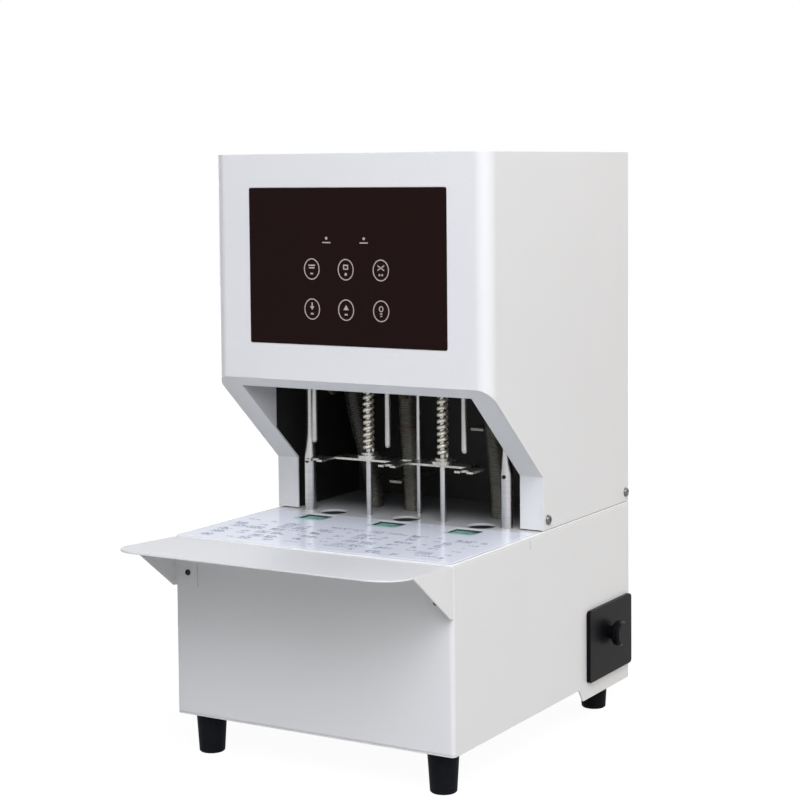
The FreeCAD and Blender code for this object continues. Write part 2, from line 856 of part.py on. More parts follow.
def spindle(name, x):
    collar_bottom = housing_top + seat_gap
    pulley_top_edge = pulley_bottom + pulley_width
    profile = [(drill_radius, chuck_bottom), (chuck_nose_radius, chuck_bottom),
               (chuck_radius, chuck_bottom + chuck_nose), (chuck_radius, chuck_top),
               (spindle_radius, chuck_top), (spindle_radius, collar_bottom),
               (spindle_collar_radius, collar_bottom),
               (spindle_collar_radius, collar_bottom + spindle_collar),
               (spindle_radius, collar_bottom + spindle_collar),
               (spindle_radius, pulley_bottom - pulley_flange),
               (pulley_flange_radius, pulley_bottom - pulley_flange), (pulley_flange_radius, pulley_bottom),
               (pulley_radius, pulley_bottom), (pulley_radius, pulley_top_edge),
               (pulley_flange_radius, pulley_top_edge),
               (pulley_flange_radius, pulley_top_edge + pulley_flange),
               (drill_bore_radius, pulley_top_edge + pulley_flange),
               (drill_bore_radius, chuck_bottom + drill_socket), (drill_radius, chuck_bottom + drill_socket)]
    add(name, turned(profile, x, drill_y))


def hollow_drill(name, x):
    top = chuck_bottom + drill_socket
    shank = rod_z(x, drill_y, drill_tip, top, drill_radius)
    edge_top = drill_tip + drill_edge_length
    sharpened = turned([(drill_bore_radius, drill_tip), (drill_radius, edge_top),
                        (drill_radius + bend_radius, edge_top),
                        (drill_radius + bend_radius, drill_tip - seam_gap),
                        (drill_bore_radius, drill_tip - seam_gap)], x, drill_y)
    bore = rod_z(x, drill_y, drill_tip - seam_gap, top + seam_gap, drill_bore_radius)
    add(name, without(shank, [sharpened, bore]))


def spindles():
    for side, x in zip(("left", "middle", "right"), hole_positions):
        spindle("drill_spindle_" + side, x)
        hollow_drill("hollow_drill_" + side, x)


def square_motor(x, y, z0, z1, size):
    half = size / 2
    return rounded_box(x - half, x + half, y - half, y + half, z0, z1, motor_corner_radius, 2)


def drill_motor():
    z1 = carriage_top + drill_motor_height
    body = square_motor(drill_motor_offset, drill_y, carriage_top, z1, drill_motor_size)
    socket = rod_z(drill_motor_offset, drill_y, z1 - shaft_socket, z1 + seam_gap,
                   motor_shaft_radius + seat_gap)
    add("drill_motor", body.cut(socket))


def motor_pulley():
    shaft_foot = carriage_top + drill_motor_height - shaft_socket + seat_gap
    top = pulley_bottom + pulley_width
    profile = [(0, shaft_foot), (motor_shaft_radius, shaft_foot),
               (motor_shaft_radius, pulley_bottom - pulley_flange),
               (pulley_flange_radius, pulley_bottom - pulley_flange), (pulley_flange_radius, pulley_bottom),
               (pulley_radius, pulley_bottom), (pulley_radius, top), (pulley_flange_radius, top),
               (pulley_flange_radius, top + pulley_flange), (0, top + pulley_flange)]
    add("motor_pulley", turned(profile, drill_motor_offset, drill_y))


def belt_band(radius, z0, z1):
    ends = [rod_z(x, drill_y, z0, z1, radius) for x in (-hole_pitch, hole_pitch)]
    middle = box(-hole_pitch, hole_pitch, drill_y - radius, drill_y + radius, z0, z1)
    return joined([middle] + ends)


def drill_belt():
    z0 = pulley_bottom + belt_edge_gap
    z1 = pulley_bottom + pulley_width - belt_edge_gap
    inside = pulley_radius + seat_gap
    outer = belt_band(inside + belt_thickness, z0, z1)
    add("drill_belt", outer.cut(belt_band(inside, z0 - seam_gap, z1 + seam_gap)))


def pull_rod():
    """Rod that draws the carriage down, with its lock nut and the nut block at its foot."""
    block_top = table_under - nut_block_drop
    block_bottom = block_top - nut_block_height
    screw_x = pull_rod_side - feed_screw_spacing
    block = box(screw_x - nut_block_margin, pull_rod_side + nut_block_margin,
                pull_rod_y - nut_block_half_depth, pull_rod_y + nut_block_half_depth,
                block_bottom, block_top)
    block = block.cut(rod_z(screw_x, pull_rod_y, block_bottom - seam_gap, block_top + seam_gap,
                            screw_radius + running_gap))
    rod = rod_z(pull_rod_side, pull_rod_y, block_bottom, carriage_top + lock_nut_height, pull_rod_radius)
    nut = rod_z(pull_rod_side, pull_rod_y, carriage_top, carriage_top + lock_nut_height, lock_nut_radius)
    add("pull_rod", joined([block, rod, nut]))


# ---- feed drive in the base ----
def feed_drive():
    x = pull_rod_side - feed_screw_spacing
    motor_top = pan_top + feed_motor_height
    body = square_motor(x, pull_rod_y, pan_top, motor_top, feed_motor_size)
    socket = rod_z(x, pull_rod_y, motor_top - shaft_socket, motor_top + seam_gap, screw_radius + seat_gap)
    add("feed_motor", body.cut(socket))
    add("feed_screw", rod_z(x, pull_rod_y, motor_top - shaft_socket + seat_gap,
                            table_under - seam_gap * 2, screw_radius))


# ---- press plate ----
def press_plate():
    bar = box(-plate_bar_half_width, plate_bar_half_width, rivet_y - plate_bar_front,
              rivet_y + plate_bar_rear, plate_bottom, plate_top)
    solids = [bar]
    bores = [rod_z(0, rivet_y, plate_bottom - seam_gap, plate_top + seam_gap, stem_hole_radius)]
    for x in hole_positions:
        solids.append(rod_z(x, drill_y, plate_bottom, plate_top, lobe_radius))
        solids.append(box(x - lobe_radius, x + lobe_radius, drill_y, rivet_y - plate_bar_front,
                          plate_bottom, plate_top))
        bores.append(rod_z(x, drill_y, plate_bottom - seam_gap, plate_top + seam_gap, lobe_bore_radius))
        bores.append(box(x - lobe_radius, x + lobe_radius, drill_y - lobe_radius, drill_y - lobe_front_reach,
                         plate_bottom - seam_gap, plate_top + seam_gap))
    for x in (-rod_offset, rod_offset):
        bores.append(rod_z(x, rivet_y, plate_bottom - seam_gap, plate_top + seam_gap,
                           rod_radius + seat_gap))
    add("press_plate", without(joined(solids), bores))


def plate_collars():
    collars = []
    for x in (-rod_offset, rod_offset):
        flange_top = plate_top + collar_flange
        bore = rod_radius + running_gap
        profile = [(bore, plate_top), (collar_radius, plate_top), (collar_radius, flange_top),
                   (collar_hub_radius, flange_top), (collar_hub_radius, flange_top + collar_hub),
                   (bore, flange_top + collar_hub)]
        collars.append(turned(profile, x, rivet_y))
    add("plate_collars", Part.makeCompound(collars))


def press_springs():
    """Two open coils round the guide rods, between the collars and the carriage seats."""
    mean = rod_radius + spring_wire_radius + seat_gap
    length = spring_rest_length - spring_wire_radius * 2
    turns = [math.tau * side / spring_wire_sides for side in range(spring_wire_sides)]
    corners = [vector(mean + spring_wire_radius * math.cos(a), 0, spring_wire_radius * math.sin(a))
               for a in turns]
    ring = Part.makePolygon(corners + [corners[0]])
    springs = []
    for x in (-rod_offset, rod_offset):
        path = Part.makeHelix(length / spring_turns, length, mean)
        coil = Part.Wire(path.Edges).makePipeShell([ring], True, True)
        coil.translate(vector(x, rivet_y, spring_foot + spring_wire_radius))
        springs.append(coil)
    add("press_springs", Part.makeCompound(springs))


# ---- rivet ram ----
def rivet_ram():
    half = hole_pitch + ram_end_margin
    top = ram_bottom + ram_thickness
    bar = box(-half, half, rivet_y - ram_half_depth, rivet_y + ram_half_depth, ram_bottom, top)
    boss = rod_z(0, ram_screw_y, ram_bottom, top, ram_nut_radius)
    web = box(-ram_nut_radius, ram_nut_radius, rivet_y, ram_screw_y, ram_bottom, top)
    bores = [rod_z(0, ram_screw_y, ram_bottom - seam_gap, top + seam_gap, screw_radius + running_gap)]
    bores += [rod_z(x, rivet_y, ram_bottom - seam_gap, top + seam_gap, rod_radius + running_gap)
              for x in (-rod_offset, rod_offset)]
    add("rivet_ram", without(joined([bar, boss, web]), bores))


def rivet_heads():
    tip = table_top + rivet_rest_height
    heads = []
    for x in hole_positions:
        profile = [(0, tip), (rivet_tip_radius, tip), (rivet_head_radius, tip + rivet_tip_length),
                   (rivet_head_radius, tip + rivet_head_length),
                   (stem_radius, tip + rivet_head_length + bend_radius),
                   (stem_radius, ram_bottom), (0, ram_bottom)]
        heads.append(turned(profile, x, rivet_y))
    add("rivet_heads", Part.makeCompound(heads))


def ram_drive():
    motor_top = deck_top + rivet_motor_height
    body = square_motor(0, ram_screw_y, deck_top, motor_top, rivet_motor_size)
    socket = rod_z(0, ram_screw_y, deck_top - seam_gap, deck_top + rivet_motor_height / 2,
                   screw_radius + seat_gap)
    add("rivet_motor", body.cut(socket))
    add("ram_screw", rod_z(0, ram_screw_y, carriage_top + ram_screw_gap,
                           deck_top + rivet_motor_height / 2 - seat_gap, screw_radius))


# ---- chip hoses, chute and waste drawer ----
def hose_path(index):
    """Upright, slanting and upright runs joined by tangent arcs, in the plane of the hoses."""
    foot_x, top_x = hose_foot_positions[index], hose_top_positions[index]
    corners = [vector(foot_x, hose_y, table_top - hose_foot_depth),
               vector(foot_x, hose_y, table_top + hose_straight_foot),
               vector(top_x, hose_y, carriage_bottom - hose_straight_top),
               vector(top_x, hose_y, carriage_bottom - seat_gap)]
    edges = []
    start = corners[0]
    for before, corner, after in zip(corners, corners[1:], corners[2:]):
        inward = (before - corner).normalize()
        outward = (after - corner).normalize()
        half_turn = (math.pi - inward.getAngle(outward)) / 2
        reach = hose_bend_radius * math.tan(half_turn)
        arc_start = corner + inward * reach
        arc_end = corner + outward * reach
        toward_centre = (inward + outward).normalize()
        sagitta = hose_bend_radius / math.cos(half_turn) - hose_bend_radius
        edges.append(Part.LineSegment(start, arc_start).toShape())
        edges.append(Part.Arc(arc_start, corner + toward_centre * sagitta, arc_end).toShape())
        start = arc_end
    edges.append(Part.LineSegment(start, corners[-1]).toShape())
    return Part.Wire(edges)


def hose_tube(path, start, radius):
    ring = Part.Wire(Part.makeCircle(radius, start, vector(0, 0, 1)))
    return path.makePipeShell([ring], True, False)


def chip_hoses():
    for index, side in enumerate(("left", "middle", "right")):
        path = hose_path(index)
        start = vector(hose_foot_positions[index], hose_y, table_top - hose_foot_depth)
        outer = hose_tube(path, start, hose_radius)
        inner = hose_tube(path, start, hose_radius - hose_wall)
        add("chip_hose_" + side, outer.cut(inner))


def hose_brackets():
    """Strips from the rear of the liner that steady the middle and right hoses."""
    strips = []
    for index, height in zip((1, 2), bracket_heights):
        z = table_top + height
        x1 = hose_line_x(index, z) - hose_radius - bracket_hose_gap
        strips.append(box(x1 - bracket_width, x1, hose_y, liner_rear - liner_thickness,
                          z - bracket_thickness / 2, z + bracket_thickness / 2))
    add("hose_brackets", Part.makeCompound(strips))


def rectangle_wire(x0, x1, y0, y1, z):
    points = [vector(x0, y0, z), vector(x1, y0, z), vector(x1, y1, z), vector(x0, y1, z)]
    return Part.makePolygon(points + [points[0]])


def chip_chute():
    x0 = min(hose_foot_positions) - hose_radius - chute_side_margin
    x1 = max(hose_foot_positions) + hose_radius + chute_side_margin
    y0 = pull_rod_y + nut_block_half_depth + chute_front_gap
    y1 = hose_y + hose_radius + chute_side_margin / 2
    ox0, ox1, oy0, oy1 = chute_outlet
    outer = Part.makeLoft([rectangle_wire(x0, x1, y0, y1, table_under),
                           rectangle_wire(ox0, ox1, oy0, oy1, chute_outlet_height)], True, True)
    w = chute_wall
    inner = Part.makeLoft([rectangle_wire(x0 + w, x1 - w, y0 + w, y1 - w, table_under),
                           rectangle_wire(ox0 + w, ox1 - w, oy0 + w, oy1 - w, chute_outlet_height)],
                          True, True)
    add("chip_chute", outer.cut(inner))


def drawer_box_sizes():
    y0 = drawer_front_edge + drawer_lap + seam_gap
    y1 = drawer_rear - drawer_lap - seam_gap
    z0 = drawer_bottom + drawer_lap + seam_gap
    z1 = drawer_bottom + drawer_height - drawer_lap - seam_gap
    return y0, y1, z0, z1


def waste_drawer():
    y0, y1, z0, z1 = drawer_box_sizes()
    x1 = half_width + seat_gap
    x0 = x1 - drawer_depth
    tray = box(x0, x1, y0, y1, z0, z1 - drawer_low_wall)
    cavity = box(x0 + drawer_wall, x1 - drawer_wall, y0 + drawer_wall, y1 - drawer_wall,
                 z0 + drawer_wall, z1)
    face = rounded_box(x1, x1 + drawer_front_thickness, drawer_front_edge, drawer_rear,
                       drawer_bottom, drawer_bottom + drawer_height, drawer_corner_radius, 0)
    rim = edges_where(face, lambda b: b.XMin > x1 + drawer_front_thickness - running_gap)
    face = face.makeFillet(bend_radius, rim)
    add("waste_drawer", joined([tray.cut(cavity), face]))


def drawer_knob():
    x0 = half_width + seat_gap + drawer_front_thickness
    profile = [(0, 0), (knob_neck_radius, 0), (knob_neck_radius, knob_neck),
               (knob_radius - knob_edge, knob_neck),
               (knob_radius, knob_neck + knob_edge), (knob_radius, knob_length - knob_edge),
               (knob_radius - knob_edge, knob_length), (0, knob_length)]
    knob = placed(turned(profile, 0, 0), vector(0, 1, 0), 90,
                  vector(x0, (drawer_front_edge + drawer_rear) / 2, drawer_bottom + knob_rise))
    add("drawer_knob", knob)


def drawer_housing():
    """Sheet channel that carries the drawer: two side walls and a raised floor."""
    y0, y1, z0, z1 = drawer_box_sizes()
    x0 = half_width + seat_gap - drawer_depth - seam_gap
    x1 = half_width - base_sheet
    floor_top = z0 - seat_gap
    pieces = [box(x0, x1, y0 - seat_gap, y1 + seat_gap, floor_top - base_sheet, floor_top)]
    for edge in (y0 - seat_gap - base_sheet, y1 + seat_gap):
        pieces.append(box(x0, x1, edge, edge + base_sheet, pan_top, z1 - drawer_low_wall))
    add("drawer_housing", joined(pieces))


# ---- electrics ----
def power_inlet():
    """Appliance inlet and switch in one moulding, set into the rear panel."""
    z = foot_height + inlet_centre_height
    body = box(inlet_centre_x - inlet_width / 2, inlet_centre_x + inlet_width / 2,
               rear - inlet_depth, rear, z - inlet_height / 2, z + inlet_height / 2)
    rim = rounded_box(inlet_centre_x - inlet_width / 2 - inlet_flange_margin,
                      inlet_centre_x + inlet_width / 2 + inlet_flange_margin, rear, rear + inlet_flange,
                      z - inlet_height / 2 - inlet_flange_margin,
                      z + inlet_height / 2 + inlet_flange_margin, inlet_flange_margin, 1)
    socket_x = inlet_centre_x + socket_offset
    socket = box(socket_x - socket_width / 2, socket_x + socket_width / 2, rear + inlet_flange - socket_depth,
                 rear + inlet_flange, z - socket_height / 2, z + socket_height / 2)
    pins = [rod_y(socket_x + dx, z + dz, rear + inlet_flange - socket_depth,
                  rear + inlet_flange - socket_depth + socket_pin_length, socket_pin_radius)
            for dx, dz in ((-socket_pin_spacing, -socket_pin_radius), (0, socket_pin_radius * 2),
                           (socket_pin_spacing, -socket_pin_radius))]
    rocker_x = inlet_centre_x + rocker_offset
    well = rod_x(rear + inlet_flange, z, rocker_x - rocker_width / 2 - seat_gap,
                 rocker_x + rocker_width / 2 + seat_gap, rocker_radius + seat_gap)
    shell = without(joined([body, rim]), [socket, well])
    add("power_inlet", joined([shell] + pins))


def power_switch():
    """Rocker with a shallow V face, pressed at its upper end in the off position."""
    z = foot_height + inlet_centre_height
    pivot_y = rear + inlet_flange
    x0 = inlet_centre_x + rocker_offset - rocker_width / 2
    drum = rod_x(pivot_y, z, x0, x0 + rocker_width, rocker_radius)
    back_y = pivot_y - rocker_back
    raised = rocker_radius * math.tan(math.radians(rocker_throw))
    keep = prism_along_x([(back_y, z - rocker_radius), (pivot_y + raised, z - rocker_radius), (pivot_y, z),
                          (pivot_y, z + rocker_radius), (back_y, z + rocker_radius)],
                         x0, x0 + rocker_width)
    add("power_switch", drum.common(keep))


def power_supply():
    body = box(supply_side, supply_side + supply_width, supply_rear - supply_depth, supply_rear,
               pan_top, pan_top + supply_height)
    lid = edges_where(body, lambda b: b.ZMin > pan_top + supply_height - running_gap)
    add("power_supply", body.makeFillet(bend_radius, lid))


def build():
    base_shell()
    base_front_panel()
    base_rear_panel()
    feet()
    table_plate()
    table_film()
    anvil_block()
    drill_pads()
    rivet_dies()
    front_tray()
    tray_screws()
    frame_plates()
    throat_liner()
    top_deck()
    guide_posts()
    guide_rods()
    front_cover()
    head_cover()
    head_rear_panel()
    cover_screws()
    touch_panel()
    control_board()
    drill_carriage()
    spindles()
    drill_motor()
    motor_pulley()
    drill_belt()
    pull_rod()
    feed_drive()
    press_plate()
    plate_collars()
    press_springs()
    rivet_ram()
    rivet_heads()
    ram_drive()
    chip_hoses()
    hose_brackets()
    chip_chute()
    waste_drawer()
    drawer_knob()
    drawer_housing()
    power_inlet()
    power_switch()
    power_supply()


build()
os.makedirs("parts", exist_ok=True)
for name, shape in parts.items():
    if not shape.isValid() or not shape.Solids:
        raise ValueError("bad solid: " + name)
    shape.exportStep(os.path.join("parts", name + ".step"))
    print("%-22s %d solid, %.1f cm3" % (name, len(shape.Solids), shape.Volume / 1000))
print("drill stroke %.1f, ram stroke %.1f, spring stroke %.1f" % (drill_stroke, ram_stroke, spring_stroke))
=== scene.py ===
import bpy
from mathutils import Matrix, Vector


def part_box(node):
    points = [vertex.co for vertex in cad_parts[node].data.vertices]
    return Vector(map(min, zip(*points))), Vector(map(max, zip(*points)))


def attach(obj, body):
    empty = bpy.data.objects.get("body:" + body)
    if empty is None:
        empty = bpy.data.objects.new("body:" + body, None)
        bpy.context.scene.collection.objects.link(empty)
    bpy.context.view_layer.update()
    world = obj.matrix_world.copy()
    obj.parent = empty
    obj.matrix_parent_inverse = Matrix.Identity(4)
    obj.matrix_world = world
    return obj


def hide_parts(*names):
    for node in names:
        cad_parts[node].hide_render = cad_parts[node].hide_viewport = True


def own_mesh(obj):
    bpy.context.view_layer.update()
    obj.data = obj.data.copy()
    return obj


bl_info = {
    "name": "Document Riveting Machine",
    "version": (1, 0, 0),
    "blender": (4, 5, 0),
    "location": "View3D > Sidebar > Riveting Machine",
    "description": "Finishes, hoses, springs, marks and stage of a document riveting machine",
    "category": "Object",
}

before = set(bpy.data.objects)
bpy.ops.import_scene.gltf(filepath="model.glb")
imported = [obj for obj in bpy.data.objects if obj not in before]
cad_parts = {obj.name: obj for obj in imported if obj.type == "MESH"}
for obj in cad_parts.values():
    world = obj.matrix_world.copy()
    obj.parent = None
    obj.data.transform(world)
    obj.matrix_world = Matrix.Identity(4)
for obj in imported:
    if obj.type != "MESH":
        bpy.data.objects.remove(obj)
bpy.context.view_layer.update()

import math
import random

import bmesh
import bpy
from mathutils import Matrix, Vector

MM = 0.001


# --- helpers

def linear(hex_colour):
    """Linear RGBA of an sRGB hex colour."""
    values = []
    for place in (0, 2, 4):
        value = int(hex_colour[place:place + 2], 16) / 255
        values.append(value / 12.92 if value <= 0.04045 else ((value + 0.055) / 1.055) ** 2.4)
    return (*values, 1.0)


def colour_setting(name, description, hex_colour):
    """Colour property whose default is an sRGB hex colour."""
    return bpy.props.FloatVectorProperty(
        name=name, description=description, subtype="COLOR", size=4, min=0, max=1,
        default=linear(hex_colour))


def length_setting(name, description, millimetres):
    """Length property whose default is in millimetres."""
    return bpy.props.FloatProperty(
        name=name, description=description, unit="LENGTH", min=0, precision=5,
        default=millimetres * MM)


def count_setting(name, description, number):
    """Whole number property."""
    return bpy.props.IntProperty(name=name, description=description, min=1, default=number)


# --- settings

class RiveterColours(bpy.types.PropertyGroup):
    """Colours of the finishes."""
    paint: colour_setting("Cover Paint", "Powder coat on the covers, base and tray", "E3E3E3")
    film: colour_setting("Table Film", "Printed film on the table", "ECF0F9")
    film_ink: colour_setting("Film Ink", "Lines printed on the table film", "959CAF")
    pad: colour_setting("Drill Pads", "Plastic pads under the drills", "84B5A7")
    glass: colour_setting("Touch Panel", "Ink behind the glass of the touch panel", "1E0F0E")
    mark: colour_setting("Panel Marks", "Keys and signs behind the glass", "B9AAA8")
    liner: colour_setting("Throat Liner", "Paint on the sheet round the throat", "1D1C1A")
    hose: colour_setting("Chip Hoses", "Plastic of the ribbed hoses", "6A675B")
    plastic: colour_setting("Drawer and Inlet", "Moulded plastic of the drawer, knob and inlet",
                            "0E0E11")
    rubber: colour_setting("Feet", "Moulded rubber of the feet", "101114")


class RiveterSizes(bpy.types.PropertyGroup):
    """Sizes of the pieces that are not in the frame."""
    edge_round: length_setting("Edge Rounding", "Radius of the coat over sheet edges", 0.7)
    rib_pitch: length_setting("Hose Rib Pitch", "Distance between two ribs of a hose", 2.4)
    rib_depth: length_setting("Hose Rib Depth", "Depth of the groove between two ribs", 0.7)
    hose_wall: length_setting("Hose Wall", "Thickness of a hose at its ribs", 0.85)
    spring_wire: length_setting("Spring Wire", "Diameter of the spring wire", 2.4)
    spring_flat: bpy.props.FloatProperty(
        name="Wire Flatness", description="Height of the flattened spring wire over its thickness",
        min=1, max=2, default=1.75)
    spring_turns: count_setting("Spring Turns", "Turns of a press spring", 11)
    key_width: length_setting("Key Width", "Width of a key outline", 17.4)
    key_height: length_setting("Key Height", "Height of a key outline", 20.0)
    key_line: length_setting("Key Line", "Width of the line round a key", 1.0)
    mark_height: length_setting("Ink Height", "Height of printed ink over its surface", 0.05)


class RiveterSettings(bpy.types.PropertyGroup):
    """Everything that a user may change."""
    colours: bpy.props.PointerProperty(
        type=RiveterColours, name="Colours", description="Colours of the finishes")
    sizes: bpy.props.PointerProperty(
        type=RiveterSizes, name="Sizes", description="Sizes of the added pieces")


def settings():
    """The two property groups on the scene."""
    return bpy.context.scene.riveting_machine


# --- materials

def add_node(material, kind, inputs=None, **options):
    """Adds a node, sets it up, and fills or links its input sockets."""
    tree = material.node_tree
    node = tree.nodes.new(kind)
    for name, value in options.items():
        setattr(node, name, value)
    for name, value in (inputs or {}).items():
        if isinstance(value, bpy.types.NodeSocket):
            tree.links.new(value, node.inputs[name])
        else:
            node.inputs[name].default_value = value
    return node


def calculate(material, operation, *values):
    """Socket with the result of a calculation on numbers or sockets."""
    return add_node(material, "ShaderNodeMath", dict(enumerate(values)),
                    operation=operation).outputs[0]


def remap(material, value, start, end, to_start=0.0, to_end=1.0, **options):
    """Socket with a value moved from one span to another, and held inside it."""
    return add_node(material, "ShaderNodeMapRange", {
        "Value": value, "From Min": start, "From Max": end, "To Min": to_start,
        "To Max": to_end}, **options).outputs[0]


def mix_colours(material, share, colour, other):
    """Socket with a colour between two, at a share of the way."""
    return add_node(material, "ShaderNodeMix", {
        "Factor": share, 6: colour, 7: other}, data_type="RGBA").outputs[2]


def per_metre(millimetres):
    """Pattern scale that gives one cell in that many millimetres."""
    return 1000 / millimetres


def grained_finish(name, colour, other, grain, depth, roughness, spread=0.05, metallic=0.0,
                   stretch=(1, 1, 1), cloud=60.0, coat=0.0, ior=None, specular=None):
    """Material whose colour, roughness and relief follow a grain of a given size in millimetres.

    stretch makes the grain longer along an axis, depth is its relief in millimetres, spread is
    how far the roughness strays, and cloud is the size in millimetres of the slow change from
    colour to other. A material that is there already stays as it is.
    """
    material = bpy.data.materials.get(name)
    if material:
        return material
    # nearly all of one noise, and of the product of two, lies between these values
    noise_ends, product_ends = (0.3, 0.7), (0.12, 0.42)
    material = bpy.data.materials.new(name)
    material.use_nodes = True
    tree = material.node_tree
    shader = tree.nodes["Principled BSDF"]
    place = add_node(material, "ShaderNodeTexCoord").outputs["Object"]
    size = add_node(material, "ShaderNodeMapping", {
        "Vector": place, "Scale": [per_metre(grain * along) for along in stretch]})
    fine = add_node(material, "ShaderNodeTexNoise", {
        "Vector": size.outputs["Vector"], "Scale": 1.0, "Detail": 3.0})
    slow = add_node(material, "ShaderNodeTexNoise", {
        "Vector": place, "Scale": per_metre(cloud), "Detail": 2.0})
    share = calculate(material, "MULTIPLY", fine.outputs["Fac"], slow.outputs["Fac"])
    tone = mix_colours(material, remap(material, share, *product_ends), colour, other)
    polish = remap(material, fine.outputs["Fac"], *noise_ends, roughness - spread,
                   roughness + spread)
    relief = add_node(material, "ShaderNodeBump", {
        "Height": fine.outputs["Fac"], "Strength": 1.0, "Distance": depth * MM})
    tree.links.new(tone, shader.inputs["Base Color"])
    tree.links.new(polish, shader.inputs["Roughness"])
    tree.links.new(relief.outputs[0], shader.inputs["Normal"])
    shader.inputs["Metallic"].default_value = metallic
    if coat:
        shader.inputs["Coat Weight"].default_value = coat
        shader.inputs["Coat Roughness"].default_value = 0.08
    if ior:
        shader.inputs["IOR"].default_value = ior
    if specular is not None:
        shader.inputs["Specular IOR Level"].default_value = specular
    return material


def sees_backdrop(material):
    """Socket that is 1 for rays of the camera and for those seen in gloss or through glass."""
    path = add_node(material, "ShaderNodeLightPath").outputs
    seen = calculate(material, "MAXIMUM", path["Is Camera Ray"], path["Is Glossy Ray"])
    return calculate(material, "MAXIMUM", seen, path["Is Transmission Ray"])


def darker(colour, share):
    """The colour at a share of its strength."""
    return (*(part * share for part in colour[:3]), 1.0)


def powder_coat():
    # Polyester powder coat, sprayed and baked on sheet steel: a pale satin skin with
    # orange peel about 2 mm across, which breaks up highlights very slightly.
    # The coat also rounds every sheet edge, which catches a thin line of light.
    colour = settings().colours.paint
    material = grained_finish("Polyester_Powder_Coat", colour, darker(colour, 0.975), 2.2, 0.012,
                              0.42, spread=0.04, ior=1.5, cloud=90)
    relief = next(node for node in material.node_tree.nodes if node.type == "BUMP")
    edge = add_node(material, "ShaderNodeBevel", {"Radius": settings().sizes.edge_round}, samples=6)
    material.node_tree.links.new(edge.outputs[0], relief.inputs["Normal"])
    return material


def table_coat():
    # Polyester powder coat, the gloss kind: it mirrors the dark throat. Inside the throat its
    # colour is painted darker toward the rear, a painted shade for the head's shadow over the
    # table.
    material = bpy.data.materials.get("Gloss_Polyester_Powder_Coat")
    if material:
        return material
    # reach of the painted shade behind the middle of the dies, and the share of colour left where
    # it is full
    reach, throat_shade_share = 60 * MM, 0.3
    colour = settings().colours.paint
    material = grained_finish("Gloss_Polyester_Powder_Coat", colour, darker(colour, 0.975), 2.2,
                              0.004, 0.14, spread=0.03, ior=1.5, cloud=90)
    tree = material.node_tree
    shader = tree.nodes["Principled BSDF"]
    place = add_node(material, "ShaderNodeTexCoord").outputs["Object"]
    apart = add_node(material, "ShaderNodeSeparateXYZ", {0: place})
    aside = calculate(material, "ABSOLUTE", apart.outputs[0])
    inside = calculate(material, "LESS_THAN", aside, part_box("throat_liner")[1].x)
    die_low, die_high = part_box("rivet_dies")
    # painted shade: the colour darkens toward the rear inside the throat, for the head's shadow
    behind = remap(material, apart.outputs[1], (die_low.y + die_high.y) / 2, die_high.y + reach,
                   interpolation_type="SMOOTHSTEP")
    grey = calculate(material, "MULTIPLY", behind, inside)
    ground = mix_colours(material, grey, shader.inputs["Base Color"].links[0].from_socket,
                         darker(colour, throat_shade_share))
    tree.links.new(ground, shader.inputs["Base Color"])
    return material


def throat_coat():
    # Black powder coat, the fine-texture kind: it swallows light, with a slightly warm bloom
    # where light rakes it.
    colour = settings().colours.liner
    return grained_finish("Textured_Black_Powder_Coat", colour, darker(colour, 0.7), 1.2, 0.03,
                          0.55, ior=1.5)


def printed_film():
    # Polycarbonate film, printed on its back and glued down: clear over cool white ink. Its
    # fine scratches leave only a weak gloss.
    colour = settings().colours.film
    return grained_finish("Printed_Polycarbonate_Film", colour, darker(colour, 0.96), 14, 0.002,
                          0.15, spread=0.03, ior=1.58, specular=0.06)


def screen_ink(name, colour):
    # Screen-printing ink: matt, a little uneven where the mesh lets less of it through.
    return grained_finish(name, colour, darker(colour, 0.86), 0.8, 0.004, 0.6, cloud=8)


def pocket_wall_shade():
    # Sheet steel, punched, dark greenish grey with a dull sheen: a painted shade for the shadowed
    # wall of each pad pocket.
    return grained_finish("Painted_Shade_Punched_Edge", linear("37403F"), linear("242A2A"), 0.8, 0.01, 0.5,
                          cloud=6)


